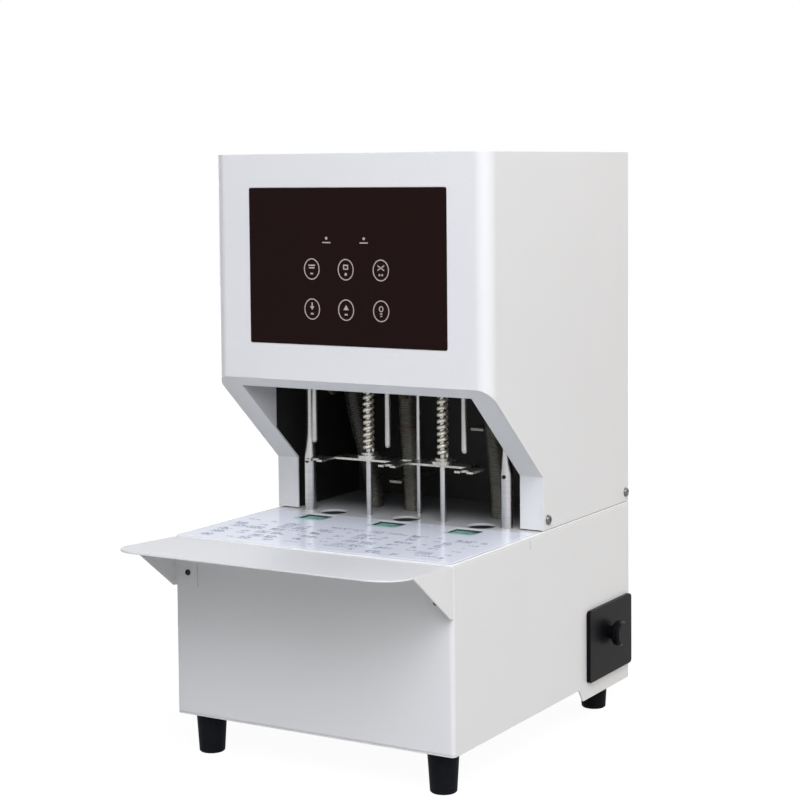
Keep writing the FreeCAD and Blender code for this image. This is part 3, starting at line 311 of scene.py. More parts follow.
def drill_pad_plastic():
    # Polyethylene, cut from sheet: waxy teal, with a painted shade at the rear right for the shadow
    # of the pocket's wall, and with the ring that each hollow drill leaves in it, about 5 mm
    # across.
    material = bpy.data.materials.get("Cut_Polyethylene_Sheet")
    if material:
        return material
    ring_radius, ring_half_line = 2.35 * MM, 0.7 * MM
    # where the painted shade starts and is full, ahead of the pad's rear and right of its middle
    shade_starts, shade_full = 8 * MM, 3 * MM
    shade_left, shade_right, shade_most = -1 * MM, 4 * MM, 0.9
    # strength of the pad's colour under the painted shade and in the ring
    shade_share, ring_share = 0.1, 0.16
    colour = settings().colours.pad
    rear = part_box("drill_pads")[1].y
    drill_low, drill_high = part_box("hollow_drill_right")
    half_pitch = (drill_low.x + drill_high.x) / 4
    material = grained_finish("Cut_Polyethylene_Sheet", colour, darker(colour, 0.75), 1.5, 0.04,
                              0.5, ior=1.51, cloud=9)
    tree = material.node_tree
    shader = tree.nodes["Principled BSDF"]
    ground = shader.inputs["Base Color"].links[0].from_socket
    place = add_node(material, "ShaderNodeTexCoord").outputs["Object"]
    apart = add_node(material, "ShaderNodeSeparateXYZ", {0: place})
    # each pad gets its own x, from its middle, by a wrap over half the pitch of the pads
    across = calculate(material, "WRAP", apart.outputs[0], half_pitch, -half_pitch)
    along = calculate(material, "ADD", apart.outputs[1], -(drill_low.y + drill_high.y) / 2)
    flat = add_node(material, "ShaderNodeCombineXYZ", {0: across, 1: along})
    away = add_node(material, "ShaderNodeVectorMath", {0: flat.outputs[0]}, operation="LENGTH")
    ring = calculate(material, "COMPARE", away.outputs["Value"], ring_radius, ring_half_line)
    behind = remap(material, apart.outputs[1], rear - shade_starts, rear - shade_full)
    rightward = remap(material, across, shade_left, shade_right, to_end=shade_most)
    # painted shade at the rear right of each pad
    painted_shade = calculate(material, "MULTIPLY", behind, rightward)
    for where, share in ((painted_shade, shade_share), (ring, ring_share)):
        ground = mix_colours(material, where, ground, darker(colour, share))
    tree.links.new(ground, shader.inputs["Base Color"])
    return material


def panel_glass():
    # Toughened glass with a dark brown ink behind it and an anti-glare surface: almost flat
    # in colour, with only a soft veil of reflection.
    colour = settings().colours.glass
    return grained_finish("Anti_Glare_Glass_Over_Dark_Ink", colour, darker(colour, 0.9), 3, 0.002,
                          0.24, spread=0.03, ior=1.5, specular=0.05)


def ribbed_hose_plastic(name="Wound_Soft_PVC", share=1.0):
    # Soft PVC, extruded and wound: smoky olive grey, dull in the grooves and shiny on the ribs.
    # A darker copy keeps a share of its strength.
    colour = darker(settings().colours.hose, share)
    return grained_finish(name, colour, darker(colour, 0.6), 5, 0.02, 0.38, ior=1.53, cloud=22)


def red_nylon():
    # Nylon 6, moulded: dark red-brown, waxy, with a faint parting line's gloss.
    return grained_finish("Moulded_Nylon", linear("6E3A3A"), linear("4A2626"), 0.9, 0.01, 0.4,
                          ior=1.53, cloud=5)


def moulded_abs():
    # ABS, moulded against a spark-eroded tool: grain about 0.8 mm across, so broad highlights.
    # Real grain is nearer 0.3 mm and is drawn coarser so that it shows. The grain hides most
    # of the gloss, so its reflection is weak.
    colour = settings().colours.plastic
    return grained_finish("Spark_Grained_ABS", colour, darker(colour, 0.75), 0.8, 0.02, 0.36,
                          ior=1.54, cloud=30, specular=0.05)


def moulded_rubber():
    # Nitrile rubber, pressure moulded: matt, close to black, with dust in its pores, which
    # leave almost nothing of its gloss.
    colour = settings().colours.rubber
    return grained_finish("Moulded_Nitrile_Rubber", colour, darker(colour, 1.8), 1.4, 0.03, 0.62,
                          ior=1.52, cloud=16, specular=0.05)


def rolled_steel():
    # Mild steel, cold rolled and oiled: grey, with faint streaks along the rolling direction.
    return grained_finish("Cold_Rolled_Steel", linear("8E9196"), linear("6F7277"), 0.9, 0.01,
                          0.42, metallic=1.0, stretch=(1, 1, 40), spread=0.08)


def chromed_steel():
    # Hard-chromed steel, centreless ground: cool and bright, with fine rings round the bar.
    # The rings are 0.02 mm apart on the real bar and are drawn 0.7 mm apart so that they show.
    return grained_finish("Ground_Hard_Chrome", linear("C2C2C3"), linear("AFAFB1"), 0.7, 0.0003,
                          0.32, metallic=1.0, stretch=(60, 60, 1), spread=0.04)


def zinc_plate():
    # Steel sheet, bright zinc plated: pale, faintly blue-yellow where the passivation pools.
    return grained_finish("Bright_Zinc_Plate", linear("C4C5C2"), linear("A3A298"), 2.4, 0.006,
                          0.3, metallic=1.0, cloud=18, spread=0.08)


def galvanised_strip():
    # Steel strip, hot-dip galvanised and bent: flat warm grey, with a spangle 5 mm across.
    return grained_finish("Galvanised_Steel_Strip", linear("9A9A92"), linear("7C7C74"), 5, 0.006,
                          0.45, metallic=1.0, cloud=12)


def screw_plate():
    # Steel screw, headed cold and zinc plated: dull bright with darker recess edges.
    return grained_finish("Zinc_Plated_Screw_Steel", linear("7E7F80"), linear("4C4D4E"), 0.9,
                          0.01, 0.3, metallic=1.0, cloud=4)


def spring_wire():
    # Music wire, nickel plated and coiled: warm bright highlights with drawing lines along it.
    return grained_finish("Nickel_Plated_Music_Wire", linear("F0EADA"), linear("DAD3C2"), 0.8,
                          0.004, 0.52, metallic=1.0, cloud=6)


def turned_steel(name, light, dark, roughness):
    # Carbon steel, turned on a lathe: a ring at each feed of the tool, drawn 0.6 mm apart.
    return grained_finish(name, linear(light), linear(dark), 0.6, 0.006, roughness,
                          metallic=1.0, stretch=(50, 50, 1), cloud=20)


def blasted_aluminium():
    # Aluminium, sand cast and bead blasted: even light grey, matt, with 1 mm dimples.
    return grained_finish("Bead_Blasted_Cast_Aluminium", linear("B0B2B4"), linear("95979A"), 1.0,
                          0.03, 0.5, metallic=1.0)


def machined_aluminium():
    # Aluminium, turned: bright, with tool rings 0.5 mm apart.
    return grained_finish("Turned_Aluminium", linear("C3C5C8"), linear("A6A8AC"), 0.5, 0.004,
                          0.28, metallic=1.0, stretch=(40, 40, 1))


def motor_enamel():
    # Black enamel, sprayed on a motor's can: satin, with small runs.
    return grained_finish("Satin_Black_Enamel", linear("1D1E20"), linear("141416"), 2.0, 0.02,
                          0.38, ior=1.5, coat=0.2)


def belt_neoprene():
    # Neoprene, moulded on cord: matt black with chalky dust from running.
    return grained_finish("Corded_Neoprene", linear("1F1F21"), linear("3A3A3B"), 1.0, 0.03, 0.7,
                          stretch=(8, 8, 1))


def solder_mask():
    # Glass-epoxy laminate under green solder mask: glossy, with the 0.5 mm weave showing.
    return grained_finish("Solder_Masked_Glass_Epoxy", linear("1F5B3B"), linear("17472E"), 0.5,
                          0.01, 0.3, ior=1.55, coat=0.3)


def turned_brass():
    # Brass, turned and browned by heat: dull brown-yellow with dark rings in the tool marks.
    return grained_finish("Heat_Browned_Turned_Brass", linear("6A5838"), linear("46391F"), 0.5,
                          0.004, 0.42, metallic=1.0, stretch=(40, 40, 1))


def screw_black():
    # Alloy steel screws, black oxide: oily black, with a little shine on their rims.
    return grained_finish("Black_Oxide_Steel", linear("2A2A2C"), linear("1A1A1B"), 0.8, 0.004, 0.4,
                          metallic=0.6)


# --- shared making

def dress(material, *nodes):
    """Gives the material to the frame's own nodes."""
    for name in nodes:
        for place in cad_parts[name].material_slots:
            place.material = material


def new_object(name, work):
    """Object in the scene from a bmesh, which is freed."""
    mesh = bpy.data.meshes.new(name)
    work.to_mesh(mesh)
    work.free()
    obj = bpy.data.objects.new(name, mesh)
    bpy.context.scene.collection.objects.link(obj)
    return obj


def finish_piece(name, work, material, body, smooth=40.0):
    """Object from a bmesh, with its material and body."""
    bmesh.ops.recalc_face_normals(work, faces=work.faces)
    obj = new_object(name, work)
    if smooth:
        obj.data.shade_smooth()
        obj.data.set_sharp_from_angle(angle=math.radians(smooth))
    obj.data.materials.append(material)
    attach(obj, body)
    return obj


def add_rings(work, rings, ends="cap"):
    """Skin over rings of points. ends is cap for a closed bar, or loop for a closed tube."""
    count = len(rings[0])
    made = [[work.verts.new(point) for point in ring] for ring in rings]
    pairs = list(zip(made, made[1:]))
    if ends == "loop":
        pairs.append((made[-1], made[0]))
    for low, high in pairs:
        for i in range(count):
            j = (i + 1) % count
            work.faces.new((low[i], low[j], high[j], high[i]))
    if ends == "cap":
        work.faces.new(list(reversed(made[0])))
        work.faces.new(made[-1])


def circle_points(centre, across, up, radius, count):
    """Points round a centre, in the plane of two vectors, whose lengths stretch the circle."""
    turn = [2 * math.pi * i / count for i in range(count)]
    return [centre + radius * (math.cos(a) * across + math.sin(a) * up) for a in turn]


def add_plate(work, outline, raise_by):
    """Thin solid from a flat outline, raised by a vector."""
    low = [work.verts.new(point) for point in outline]
    high = [work.verts.new(point + raise_by) for point in outline]
    count = len(outline)
    work.faces.new(high)
    work.faces.new(list(reversed(low)))
    for i in range(count):
        j = (i + 1) % count
        work.faces.new((low[i], low[j], high[j], high[i]))


def add_band(work, outer, inner, raise_by):
    """Thin solid between two outlines that have the same number of points."""
    raised = [[point + raise_by for point in outline] for outline in (outer, inner)]
    add_rings(work, [outer, *raised, inner], "loop")


# --- operators

class RIVETER_OT_covers(bpy.types.Operator):
    """Powder coat on the covers, base, tray and table plate"""
    bl_idname = "riveter.covers"
    bl_label = "Covers, Base and Tray"

    def execute(self, context):
        dress(powder_coat(), "base_shell", "base_front_panel", "base_rear_panel", "front_tray",
              "front_cover", "head_cover", "head_rear_panel")
        dress(table_coat(), "table_plate")
        return {"FINISHED"}


class RIVETER_OT_frame(bpy.types.Operator):
    """Steel frame, guides, deck, throat liner and plated sheet parts"""
    bl_idname = "riveter.frame"
    bl_label = "Frame and Guides"

    def execute(self, context):
        dress(rolled_steel(), "anvil_block", "frame_plate_left", "frame_plate_right", "top_deck",
              "rivet_ram")
        dress(throat_coat(), "throat_liner")
        dress(chromed_steel(), "guide_post_left", "guide_post_right", "guide_rod_left",
              "guide_rod_right", "pull_rod", "feed_screw", "ram_screw")
        dress(zinc_plate(), "chip_chute", "power_supply", "drawer_housing",
              "press_plate", "plate_collars")
        dress(galvanised_strip(), "hose_brackets")
        return {"FINISHED"}


class RIVETER_OT_drilling_gear(bpy.types.Operator):
    """Carriage, spindles, hollow drills, belt, motors and rivet heads"""
    bl_idname = "riveter.drilling_gear"
    bl_label = "Drilling and Riveting Gear"

    def execute(self, context):
        dress(blasted_aluminium(), "drill_carriage")
        spindle = turned_steel("Turned_Carbon_Steel", "8A8C90", "5F6165", 0.32)
        drill = turned_steel("Ground_High_Speed_Steel", "B6B6B4", "A5A5A3", 0.34)
        die = turned_steel("Turned_Tool_Steel", "4C4D50", "343537", 0.5)
        for side in ("left", "middle", "right"):
            dress(spindle, "drill_spindle_" + side)
            dress(drill, "hollow_drill_" + side)
        dress(die, "rivet_dies")
        dress(machined_aluminium(), "motor_pulley")
        dress(motor_enamel(), "drill_motor", "feed_motor", "rivet_motor")
        dress(belt_neoprene(), "drill_belt")
        dress(solder_mask(), "control_board")
        dress(turned_brass(), "rivet_heads")
        return {"FINISHED"}


class RIVETER_OT_table(bpy.types.Operator):
    """Printed film, drill pads and the lines printed on the film"""
    bl_idname = "riveter.table"
    bl_label = "Table Film and Pads"

    def execute(self, context):
        dress(printed_film(), "table_film")
        dress(drill_pad_plastic(), "drill_pads")
        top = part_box("table_film")[1].z
        up = Vector((0, 0, settings().sizes.mark_height))
        chance = random.Random(4)
        work = bmesh.new()
        # lengths, heights and gaps of the print's words in millimetres
        word_lengths, word_heights, word_gaps = (1.2, 5.2), (1.9, 3.1), (0.6, 2.2)
        # its grid in millimetres: a picture in some cells, a text and a short note in all
        columns, rows, column_pitch, row_pitch, line_pitch = 6, 6, 46, 15.6, 3.7
        print_left, print_rear = -137, -82.0
        picture_width, picture_height, picture_share = 13, 10, 0.3

        def block(x0, x1, y0, y1):
            add_plate(work, [Vector((x * MM, y * MM, top)) for x, y in
                             ((x0, y0), (x1, y0), (x1, y1), (x0, y1))], up)

        def outline(x0, x1, y0, y1, line):
            block(x0, x1, y0, y0 + line)
            block(x0, x1, y1 - line, y1)
            block(x0, x0 + line, y0 + line, y1 - line)
            block(x1 - line, x1, y0 + line, y1 - line)

        def text(x, y, width, lines):
            for _ in range(lines):
                along = x + chance.uniform(0, 2)
                end = x + width * chance.uniform(0.6, 1.0)
                while along < end:
                    word = chance.uniform(*word_lengths)
                    block(along, along + word, y - chance.uniform(*word_heights), y)
                    along += word + chance.uniform(*word_gaps)
                y -= line_pitch

        for column in range(columns):
            left = print_left + column * column_pitch
            for row in range(rows):
                at = left + chance.uniform(0, 7)
                y = print_rear - row * row_pitch - chance.uniform(0, 3)
                if chance.random() < picture_share:
                    outline(at, at + picture_width, y - picture_height, y, 0.8)
                    text(at + 2, y - 1.6, picture_width - 3, 2)
                    at += picture_width + 3
                text(at, y, chance.uniform(9, 24), chance.choice((1, 2, 3, 3)))
                text(at + 27, y - chance.uniform(0, 4), chance.uniform(4, 11),
                     chance.choice((1, 2)))
        ink = screen_ink("Grey_Screen_Ink", settings().colours.film_ink)
        finish_piece("table_print", work, ink, "base", smooth=0)

        # dark lip in each pad pocket, a painted shade for its wall in shadow, and the pale frame
        # printed in front of it
        lip_height, lip_insets, lip_lift = 1.3 * MM, (0.03 * MM, 0.4 * MM), 0.05 * MM
        frame_front, frame_rear = 5.5 * MM, 0.6 * MM
        pad_low, pad_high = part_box("drill_pads")
        drills = [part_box("hollow_drill_" + side) for side in ("left", "middle", "right")]
        half_pad = pad_high.x - (drills[2][0].x + drills[2][1].x) / 2
        lips, frames = bmesh.new(), bmesh.new()
        for drill_low, drill_high in drills:
            x = (drill_low.x + drill_high.x) / 2
            corners = ((-1, 1, pad_low.y), (1, 1, pad_low.y),
                       (1, -1, pad_high.y), (-1, -1, pad_high.y))
            rings = [[Vector((x + across * (half_pad - inset), y + inward * inset,
                              pad_high.z + lip_lift)) for across, inward, y in corners]
                     for inset in lip_insets]
            add_band(lips, *rings, Vector((0, 0, lip_height)))
            add_plate(frames, [Vector((x + across * half_pad, pad_low.y - ahead, top))
                               for across, ahead in ((-1, frame_front), (1, frame_front),
                                                     (1, frame_rear), (-1, frame_rear))], up)
        finish_piece("shaded_pocket_lips", lips, pocket_wall_shade(), "base")
        ink = screen_ink("Pale_Turquoise_Screen_Ink", linear("A9D6CE"))
        finish_piece("pad_frames", frames, ink, "base", smooth=0)
        return {"FINISHED"}


class RIVETER_OT_touch_panel(bpy.types.Operator):
    """Glass of the touch panel with its keys and lamps"""
    bl_idname = "riveter.touch_panel"
    bl_label = "Touch Panel"

    def execute(self, context):
        dress(panel_glass(), "touch_panel")
        sizes = settings().sizes
        face_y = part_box("touch_panel")[0].y
        out = Vector((0, -sizes.mark_height, 0))
        work = bmesh.new()

        def at(x, z):
            return Vector((x * MM, face_y, z * MM))

        def oval(x, z, width, height, line, count=40):
            outer, inner = [], []
            for i in range(count):
                a = 2 * math.pi * i / count
                for ring, inset in ((outer, 0), (inner, line)):
                    ring.append(at(x, z) + Vector((math.cos(a) * (width / 2 - inset), 0,
                                                   math.sin(a) * (height / 2 - inset))))
            add_band(work, outer, inner, out)

        def sign(x, z, points):
            add_plate(work, [at(x + dx, z + dz) for dx, dz in points], out)

        def bar(x, z, width, height):
            w, h = width / 2, height / 2
            sign(x, z, [(-w, -h), (w, -h), (w, h), (-w, h)])

        def dot(x, z, radius):
            sign(x, z, [(radius * math.cos(a * math.pi / 6), radius * math.sin(a * math.pi / 6))
                        for a in range(12)])

        # middles of the keys and lamps in millimetres
        left, middle, right = -37.0, 0.5, 38.5
        upper, lower = 458.5, 421.0
        lamps_x, lamps_z = (-20.5, 20.5), 487.4
        for z in (upper, lower):
            for x in (left, middle, right):
                oval(x, z, sizes.key_width, sizes.key_height, sizes.key_line)
        # sheets under a bar
        bar(left, upper + 3.5, 7.5, 1.3)
        bar(left, upper + 1.1, 6.0, 1.3)
        bar(left, upper - 4.3, 3.2, 1.5)
        # a frame
        bar(middle, upper + 4.1, 5.5, 1.1)
        bar(middle, upper + 0.5, 5.5, 1.1)
        for side in (-2.2, 2.2):
            bar(middle + side, upper + 2.3, 1.1, 2.6)
        dot(middle, upper - 4.3, 1.4)
        # crossed bars over two dots
        for end in (2.2, -2.2):
            sign(right, upper + 2.1, [(-3.6, -end - 0.6), (3.6, end - 0.6), (3.6, end + 0.6),
                                      (-3.6, -end + 0.6)])
        for side in (-1.5, 1.5):
            dot(right + side, upper - 4.3, 1.0)
        # down arrow, up arrow and lamp
        sign(left, lower + 1.6, [(-2.4, 1.0), (2.4, 1.0), (0.0, -2.6)])
        bar(left, lower + 4.4, 1.4, 3.4)
        bar(left, lower - 4.4, 3.2, 1.5)
        sign(middle, lower + 1.4, [(-3.0, -1.4), (3.0, -1.4), (0.0, 3.4)])
        bar(middle, lower - 4.2, 3.2, 1.5)
        oval(right, lower + 2.0, 4.8 * MM, 5.6 * MM, 0.9 * MM, 20)
        bar(right, lower - 2.4, 2.6, 1.0)
        bar(right, lower - 4.6, 2.0, 1.0)
        for x in lamps_x:
            dot(x, lamps_z, 1.4)
            bar(x, lamps_z - 4.0, 9.0, 1.1)
        ink = screen_ink("Pale_Screen_Ink", settings().colours.mark)
        finish_piece("panel_marks", work, ink, "base", smooth=0)
        return {"FINISHED"}


class RIVETER_OT_chip_hoses(bpy.types.Operator):
    """Three spiral-ribbed hoses that carry paper chips from the carriage to the chute"""
    bl_idname = "riveter.chip_hoses"
    bl_label = "Chip Hoses"

    def execute(self, context):
        sizes = settings().sizes
        clean = ribbed_hose_plastic()
        points_round, rings_per_rib, rings_inside = 36, 6, 24
        # shares of the height over which a hose leaves its foot and nears its top upright
        straight_foot, straight_top = 0.36, 0.53
        # shares of the rib depth in the spiral and in the crossing braid, and its strands
        spiral_depth, braid_depth, strands = 0.65, 0.35, 6
        # the left hose gets a darker copy of the hose plastic
        # foot and top of each hose along x, in millimetres
        for side, foot_x, top_x, material in (
                ("left", -66, -95, ribbed_hose_plastic("Darker_Soft_PVC", 0.4)),
                ("middle", -21, -28, clean), ("right", 78, 68, clean)):
            node = "chip_hose_" + side
            low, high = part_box(node)
            radius = (high.y - low.y) / 2
            y = (high.y + low.y) / 2
            rise = high.z - low.z
            ends = [Vector((x * MM, y, z)) for x, z in (
                (foot_x, low.z), (foot_x, low.z + straight_foot * rise),
                (top_x, high.z - straight_top * rise), (top_x, high.z))]
            steps = round(rise / sizes.rib_pitch * rings_per_rib)

            def ring(share, tube, ribs):
                """Points round the hose at a share of its cubic curve."""
                s = 1 - share
                centre = (ends[0] * s ** 3 + ends[1] * 3 * s * s * share
                          + ends[2] * 3 * s * share * share + ends[3] * share ** 3)
                ahead = ((ends[1] - ends[0]) * s * s + (ends[2] - ends[1]) * 2 * s * share
                         + (ends[3] - ends[2]) * share * share).normalized()
                back = Vector((0, 1, 0))
                across = back.cross(ahead).normalized()
                points = []
                for i in range(points_round):
                    a = 2 * math.pi * i / points_round
                    along = 2 * math.pi * share * rise / sizes.rib_pitch
                    wave = 0.5 - 0.5 * math.cos(along - a)
                    braid = 0.5 - 0.5 * math.cos(along * 0.5 + strands * a)
                    reach = tube - ribs * (spiral_depth * wave ** 2 + braid_depth * braid)
                    points.append(centre + reach * (math.cos(a) * across + math.sin(a) * back))
                return points

            outside = [ring(i / steps, radius, sizes.rib_depth) for i in range(steps + 1)]
            inside = [ring(i / rings_inside, radius - sizes.hose_wall, 0)
                      for i in range(rings_inside, -1, -1)]
            work = bmesh.new()
            add_rings(work, outside + inside, "loop")
            hose = finish_piece("ribbed_hose_" + side, work, material, "base",
                                smooth=60)
            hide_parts(node)
            pieces = [hose]
            if side == "middle":
                # cable strap: a band round the hose with its head on the right, in millimetres
                share, width, gap, thick, head_height = 0.588, 2.0, 0.1, 1.3, 3.4
                rows = [ring(share + up * MM / rise, radius + out * MM, 0)
                        for up, out in ((0, gap), (0, thick), (width, thick), (width, gap))]
                band = bmesh.new()
                add_rings(band, rows, "loop")
                head, below = rows[1][0], (width - head_height) / 2
                add_plate(band, [head + Vector((dx * MM, dy * MM, below * MM)) for dx, dy in
                                 ((-0.8, -2), (3.4, -1.6), (3.4, 1.6), (-0.8, 2))],
                          Vector((0, 0, head_height * MM)))
                pieces.append(finish_piece("hose_strap", band, red_nylon(), "base",
                                           smooth=30))
            for piece in pieces:
                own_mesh(piece)
        return {"FINISHED"}


class RIVETER_OT_press_springs(bpy.types.Operator):
    """Two coil springs between the press plate and the carriage"""
    bl_idname = "riveter.press_springs"
    bl_label = "Press Springs"

    def execute(self, context):
        sizes = settings().sizes
        low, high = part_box("press_springs")
        wire = sizes.spring_wire / 2
        centre_y = (low.y + high.y) / 2
        mean = (high.y - low.y) / 2 - wire
        bottom, top = low.z + wire * sizes.spring_flat, high.z - wire * sizes.spring_flat
        turns, steps_per_turn, points_round = sizes.spring_turns, 24, 12
        # the first and last turn lie closed, as on a spring with squared ends
        closed_turns, closed_rise = 0.8, 0.05
        tall = Vector((0, 0, sizes.spring_flat))
        work = bmesh.new()
        for x in (low.x + mean + wire, high.x - mean - wire):
            rings = []
            for i in range(turns * steps_per_turn + 1):
                turn = i / steps_per_turn
                a = 2 * math.pi * turn
                start = min(turn / closed_turns, 1)
                end = min(max(turn - turns + closed_turns, 0) / closed_turns, 1)
                inner = min(max((turn - closed_turns) / (turns - 2 * closed_turns), 0), 1)
                height = (1 - 2 * closed_rise) * inner + closed_rise * (start + end)
                centre = Vector((x + mean * math.cos(a), centre_y + mean * math.sin(a),
                                 bottom + (top - bottom) * height))
                outward = Vector((math.cos(a), math.sin(a), 0))
                rings.append(circle_points(centre, outward, tall, wire, points_round))
            add_rings(work, rings)
        springs = finish_piece("coil_springs", work, spring_wire(), "drill_carriage",
                               smooth=60)
        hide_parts("press_springs")
        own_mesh(springs)
        return {"FINISHED"}


class RIVETER_OT_screws(bpy.types.Operator):
    """Cross-headed screws of the covers and tray, and the set screws of the posts"""
    bl_idname = "riveter.screws"
    bl_label = "Screws"

    def cross_head(self, radius, height, shank, length):
        """Mesh of a pan-head screw whose seat is at the origin and whose head looks along +Z."""
        # half outline, whose last points round the head's rim
        profile = [(shank, -length), (shank, 0), (radius, 0), (radius, height * 0.35),
                   (radius * 0.94, height * 0.66), (radius * 0.78, height * 0.88),
                   (radius * 0.5, height)]
        work = bmesh.new()
        across, up = Vector((1, 0, 0)), Vector((0, 1, 0))
        add_rings(work, [circle_points(Vector((0, 0, z)), across, up, r, 28) for r, z in profile])
        blank = new_object("screw_blank", work)
        work = bmesh.new()
        # recess: four arms that taper down to a third of the head's height
        arm, half, narrow, wide = radius * 0.52, radius * 0.12, 0.55, 1.1
        corners = []
        for turn in range(4):
            side = Matrix.Rotation(turn * math.pi / 2, 3, "Z")
            corners += [side @ Vector((x, y, 0))
                        for x, y in ((arm, -half), (arm, half), (half, half))]
        lift = Vector((0, 0, height * 1.2))
        low = Vector((0, 0, height * 0.35))
        add_rings(work, [[p * narrow + low for p in corners], [p * wide + lift for p in corners]])
        bmesh.ops.recalc_face_normals(work, faces=work.faces)
        cross = new_object("screw_cross", work)
        cut = blank.modifiers.new("Recess", "BOOLEAN")
        cut.operation = "DIFFERENCE"
        cut.object = cross
        cut.solver = "EXACT"
        solved = blank.evaluated_get(bpy.context.evaluated_depsgraph_get())
        result = bpy.data.meshes.new_from_object(solved)
        for obj in (blank, cross):
            bpy.data.objects.remove(obj)
        return result

    def place(self, work, mesh, spot, outward, turn):
        """Adds the screw mesh at a spot, looking outward, turned about its own axis."""
        start = len(work.verts)
        work.from_mesh(mesh)
        work.verts.ensure_lookup_table()
        aim = Vector(outward).to_track_quat("Z", "Y").to_matrix().to_4x4()
        where = Matrix.Translation(spot) @ aim @ Matrix.Rotation(math.radians(turn), 4, "Z")
        bmesh.ops.transform(work, matrix=where, verts=work.verts[start:])

    def execute(self, context):
        # the sizes of the solids' heads give the places of the seats
        radius, height, shank, length = 4.7 * MM, 2.6 * MM, 2.2 * MM, 8 * MM
        low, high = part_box("cover_screws")
        cover = self.cross_head(radius, height, shank, length)
        work = bmesh.new()
        z = (low.z + high.z) / 2
        for y, turn in ((low.y + radius, 20), (high.y - radius, 65)):
            self.place(work, cover, Vector((high.x - height, y, z)), (1, 0, 0), turn)
            self.place(work, cover, Vector((low.x + height, y, z)), (-1, 0, 0), turn + 31)
        made = finish_piece("cover_cross_screws", work, screw_plate(), "base")
        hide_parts("cover_screws")

        # the tray's screws have smaller heads than their solids
        radius, height = 3.3 * MM, 1.8 * MM
        low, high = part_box("tray_screws")
        tray = self.cross_head(2.8 * MM, 1.6 * MM, 1.6 * MM, length)
        work = bmesh.new()
        z = (low.z + high.z) / 2
        for x, turn in ((low.x + radius, 10), (high.x - radius, 52)):
            self.place(work, tray, Vector((x, low.y + height, z)), (0, -1, 0), turn)
        made = finish_piece("tray_cross_screws", work, screw_black(), "base")
        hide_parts("tray_screws")

        # hollow-ended set screws: radius and reach out of the post, in millimetres
        profile = [(1.9, 1.2), (1.9, -0.9), (1.6, -1.3), (1.0, -1.3), (0.9, -0.5)]
        rise = 50 * MM
        work = bmesh.new()
        across, up = Vector((1, 0, 0)), Vector((0, 0, 1))
        for side in ("left", "right"):
            low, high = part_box("guide_post_" + side)
            spot = Vector(((low.x + high.x) / 2, low.y, low.z + rise))
            add_rings(work, [circle_points(spot + Vector((0, out * MM, 0)), across, up, r * MM, 18)
                             for r, out in profile])
        finish_piece("post_set_screws", work, screw_black(), "base")
        return {"FINISHED"}


class RIVETER_OT_drawer_and_feet(bpy.types.Operator):
    """Waste drawer, knob, power inlet with its marked rocker, and feet"""
    bl_idname = "riveter.drawer_and_feet"
    bl_label = "Drawer, Inlet and Feet"

    def execute(self, context):
        dress(moulded_abs(), "waste_drawer", "drawer_knob", "power_inlet", "power_switch")
        dress(moulded_rubber(), "foot_front_left", "foot_front_right", "foot_rear_left",
              "foot_rear_right")

        # the rocker's face is a shallow V whose fold lies in the inlet's front face
        low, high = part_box("power_switch")
        centre = Vector(((low.x + high.x) / 2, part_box("power_inlet")[1].y, (low.z + high.z) / 2))
        half = (high.z - low.z) / 2
        slope = math.asin((high.y - centre.y) / half)
        ink = settings().sizes.mark_height
        across, up = Vector((1, 0, 0)), Vector((0, 0, 1))
        work = bmesh.new()
        # O on the upper half, which lies flat at rest
        ring, radii = centre + 0.5 * half * up, (2.2 * MM, 1.6 * MM)
        outer, inner = (circle_points(ring, across, up, radius, 24) for radius in radii)
        add_band(work, outer, inner, Vector((0, ink, 0)))
        # I on the lower half, which slopes outward
        down = Vector((0, math.sin(slope), -math.cos(slope)))
        outward = Vector((0, math.cos(slope), math.sin(slope)))
        bar = centre + 0.45 * half * down
        half_width, half_length = 0.35 * MM, 2.2 * MM
        add_plate(work, [bar + half_width * i * across + half_length * j * down
                         for i, j in ((-1, -1), (1, -1), (1, 1), (-1, 1))], ink * outward)
        finish_piece("switch_marks", work, screen_ink("White_Pad_Ink", linear("D8D8D4")),
                     "power_switch", smooth=0)
        return {"FINISHED"}


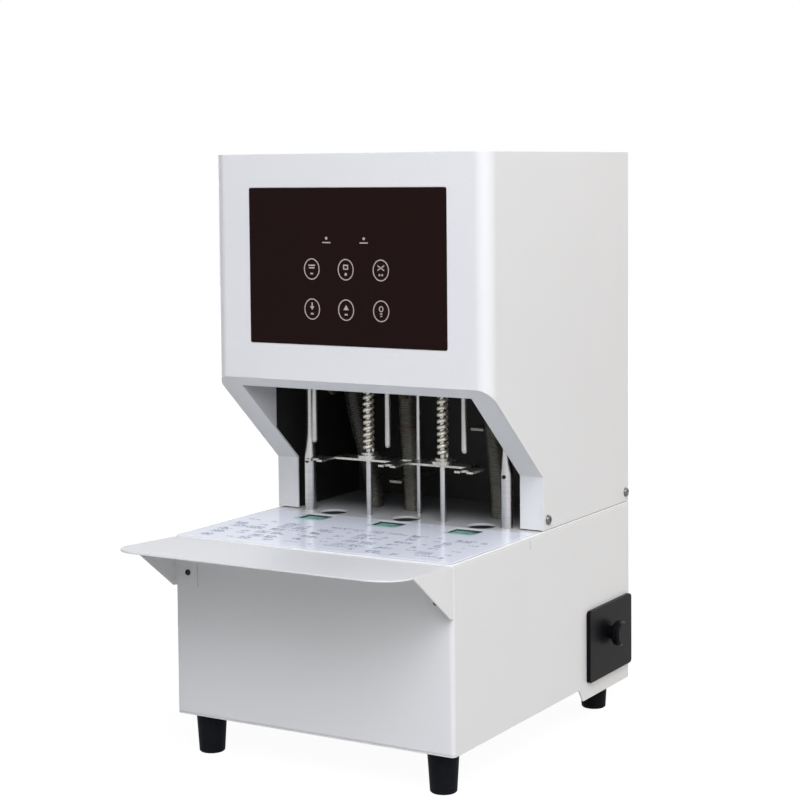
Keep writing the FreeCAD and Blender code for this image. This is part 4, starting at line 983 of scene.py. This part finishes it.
class RIVETER_OT_stage(bpy.types.Operator):
    """Floor, world light, lamps and camera"""
    bl_idname = "riveter.stage"
    bl_label = "Stage, Lamps and Camera"

    def execute(self, context):
        scene = context.scene
        # metres: half the floor's side, and where its own shade starts to fade and has gone
        floor_half, fade_starts, fade_ends = 6, 0.5, 1.6
        # share of plain white in the camera's view of the near floor, and its strength
        plain_share, white_strength = 0.85, 1.12
        # strength of the white surroundings as a light
        fill_light = 0.085
        work = bmesh.new()
        bmesh.ops.create_grid(work, x_segments=8, y_segments=8, size=floor_half)
        floor = new_object("studio_floor", work)
        material = bpy.data.materials.new("Seamless_White_Paper")
        # Paper roll: matt grey-white. The camera sees it near the machine as white with the
        # shadow left in, and as plain white farther out, so that no horizon shows.
        material.use_nodes = True
        tree = material.node_tree
        shader = tree.nodes["Principled BSDF"]
        shader.inputs["Base Color"].default_value = linear("B8B8B6")
        shader.inputs["Roughness"].default_value = 0.9
        place = add_node(material, "ShaderNodeTexCoord").outputs["Object"]
        away = add_node(material, "ShaderNodeVectorMath", {0: place}, operation="LENGTH")
        plain = remap(material, away.outputs["Value"], fade_starts, fade_ends, plain_share)
        share = calculate(material, "MULTIPLY", sees_backdrop(material), plain)
        glow = add_node(material, "ShaderNodeEmission", {
            "Color": linear("FFFFFF"), "Strength": white_strength})
        blend = add_node(material, "ShaderNodeMixShader", {
            0: share, 1: shader.outputs[0], 2: glow.outputs[0]})
        tree.links.new(blend.outputs[0], tree.nodes["Material Output"].inputs["Surface"])
        floor.data.materials.append(material)

        world = bpy.data.worlds.new("studio")
        scene.world = world
        world.use_nodes = True
        tree = world.node_tree
        power = remap(world, sees_backdrop(world), 0, 1, fill_light)
        tree.links.new(power, tree.nodes["Background"].inputs["Strength"])
        tree.nodes["Background"].inputs["Color"].default_value = linear("FFFFFF")

        # place and side in metres, power in watts; every lamp looks at the machine's middle
        centre = Vector((0, 0, 0.3))
        for name, spot, size, watts, tint in (
                ("key_softbox", (1.5, -1.95, 2.0), 2.2, 64, "F8FAFF"),
                ("high_softbox", (0.9, -1.7, 2.7), 2.2, 50, "F0F3FF"),
                ("side_softbox", (2.7, 0.5, 1.3), 1.4, 14, "FFF0D8"),
                ("rear_softbox", (0.9, 2.4, 1.9), 1.6, 24, "FFFFFF"),
                ("left_softbox", (-2.5, 1.1, 0.75), 1.4, 14, "F4F6FF")):
            lamp = bpy.data.lights.new(name, "AREA")
            lamp.shape = "SQUARE"
            lamp.size = size
            lamp.energy = watts
            lamp.color = linear(tint)[:3]
            holder = bpy.data.objects.new(name, lamp)
            holder.location = spot
            holder.rotation_euler = (centre - Vector(spot)).to_track_quat("-Z", "Y").to_euler()
            scene.collection.objects.link(holder)

        lens = bpy.data.cameras.new("product_camera")
        lens.lens = 87.16
        lens.sensor_width = 36
        lens.shift_y = -0.125
        lens.clip_end = 50
        # place in metres, then the turn round the upright, the tilt and the roll in degrees
        camera = bpy.data.objects.new("product_camera", lens)
        camera.matrix_world = (
            Matrix.Translation((0.95848, -1.62802, 0.54960))
            @ Matrix.Rotation(math.radians(30.764), 4, "Z")
            @ Matrix.Rotation(math.radians(86.174), 4, "X")
            @ Matrix.Rotation(math.radians(-0.53), 4, "Z"))
        scene.collection.objects.link(camera)
        scene.camera = camera
        scene.view_settings.view_transform = "Standard"
        return {"FINISHED"}


class RIVETER_PT_machine(bpy.types.Panel):
    """Lists the pieces and their settings"""
    bl_idname = "RIVETER_PT_machine"
    bl_label = "Riveting Machine"
    bl_space_type = "VIEW_3D"
    bl_region_type = "UI"
    bl_category = "Riveting Machine"

    def draw(self, context):
        for piece in PIECES:
            self.layout.operator(piece.bl_idname)
        for group in (settings().colours, settings().sizes):
            column = self.layout.column(align=True)
            for name in group.__annotations__:
                column.prop(group, name)


PIECES = (RIVETER_OT_stage, RIVETER_OT_covers, RIVETER_OT_frame, RIVETER_OT_drilling_gear,
          RIVETER_OT_table, RIVETER_OT_touch_panel, RIVETER_OT_chip_hoses,
          RIVETER_OT_press_springs, RIVETER_OT_screws, RIVETER_OT_drawer_and_feet)
CLASSES = (RiveterColours, RiveterSizes, RiveterSettings, *PIECES, RIVETER_PT_machine)


def register():
    for item in CLASSES:
        bpy.utils.register_class(item)
    bpy.types.Scene.riveting_machine = bpy.props.PointerProperty(type=RiveterSettings)


def unregister():
    del bpy.types.Scene.riveting_machine
    for item in reversed(CLASSES):
        bpy.utils.unregister_class(item)


def main():
    """Makes every piece."""
    register()
    for piece in PIECES:
        group, name = piece.bl_idname.split(".")
        getattr(getattr(bpy.ops, group), name)()


if __name__ == "__main__":
    main()
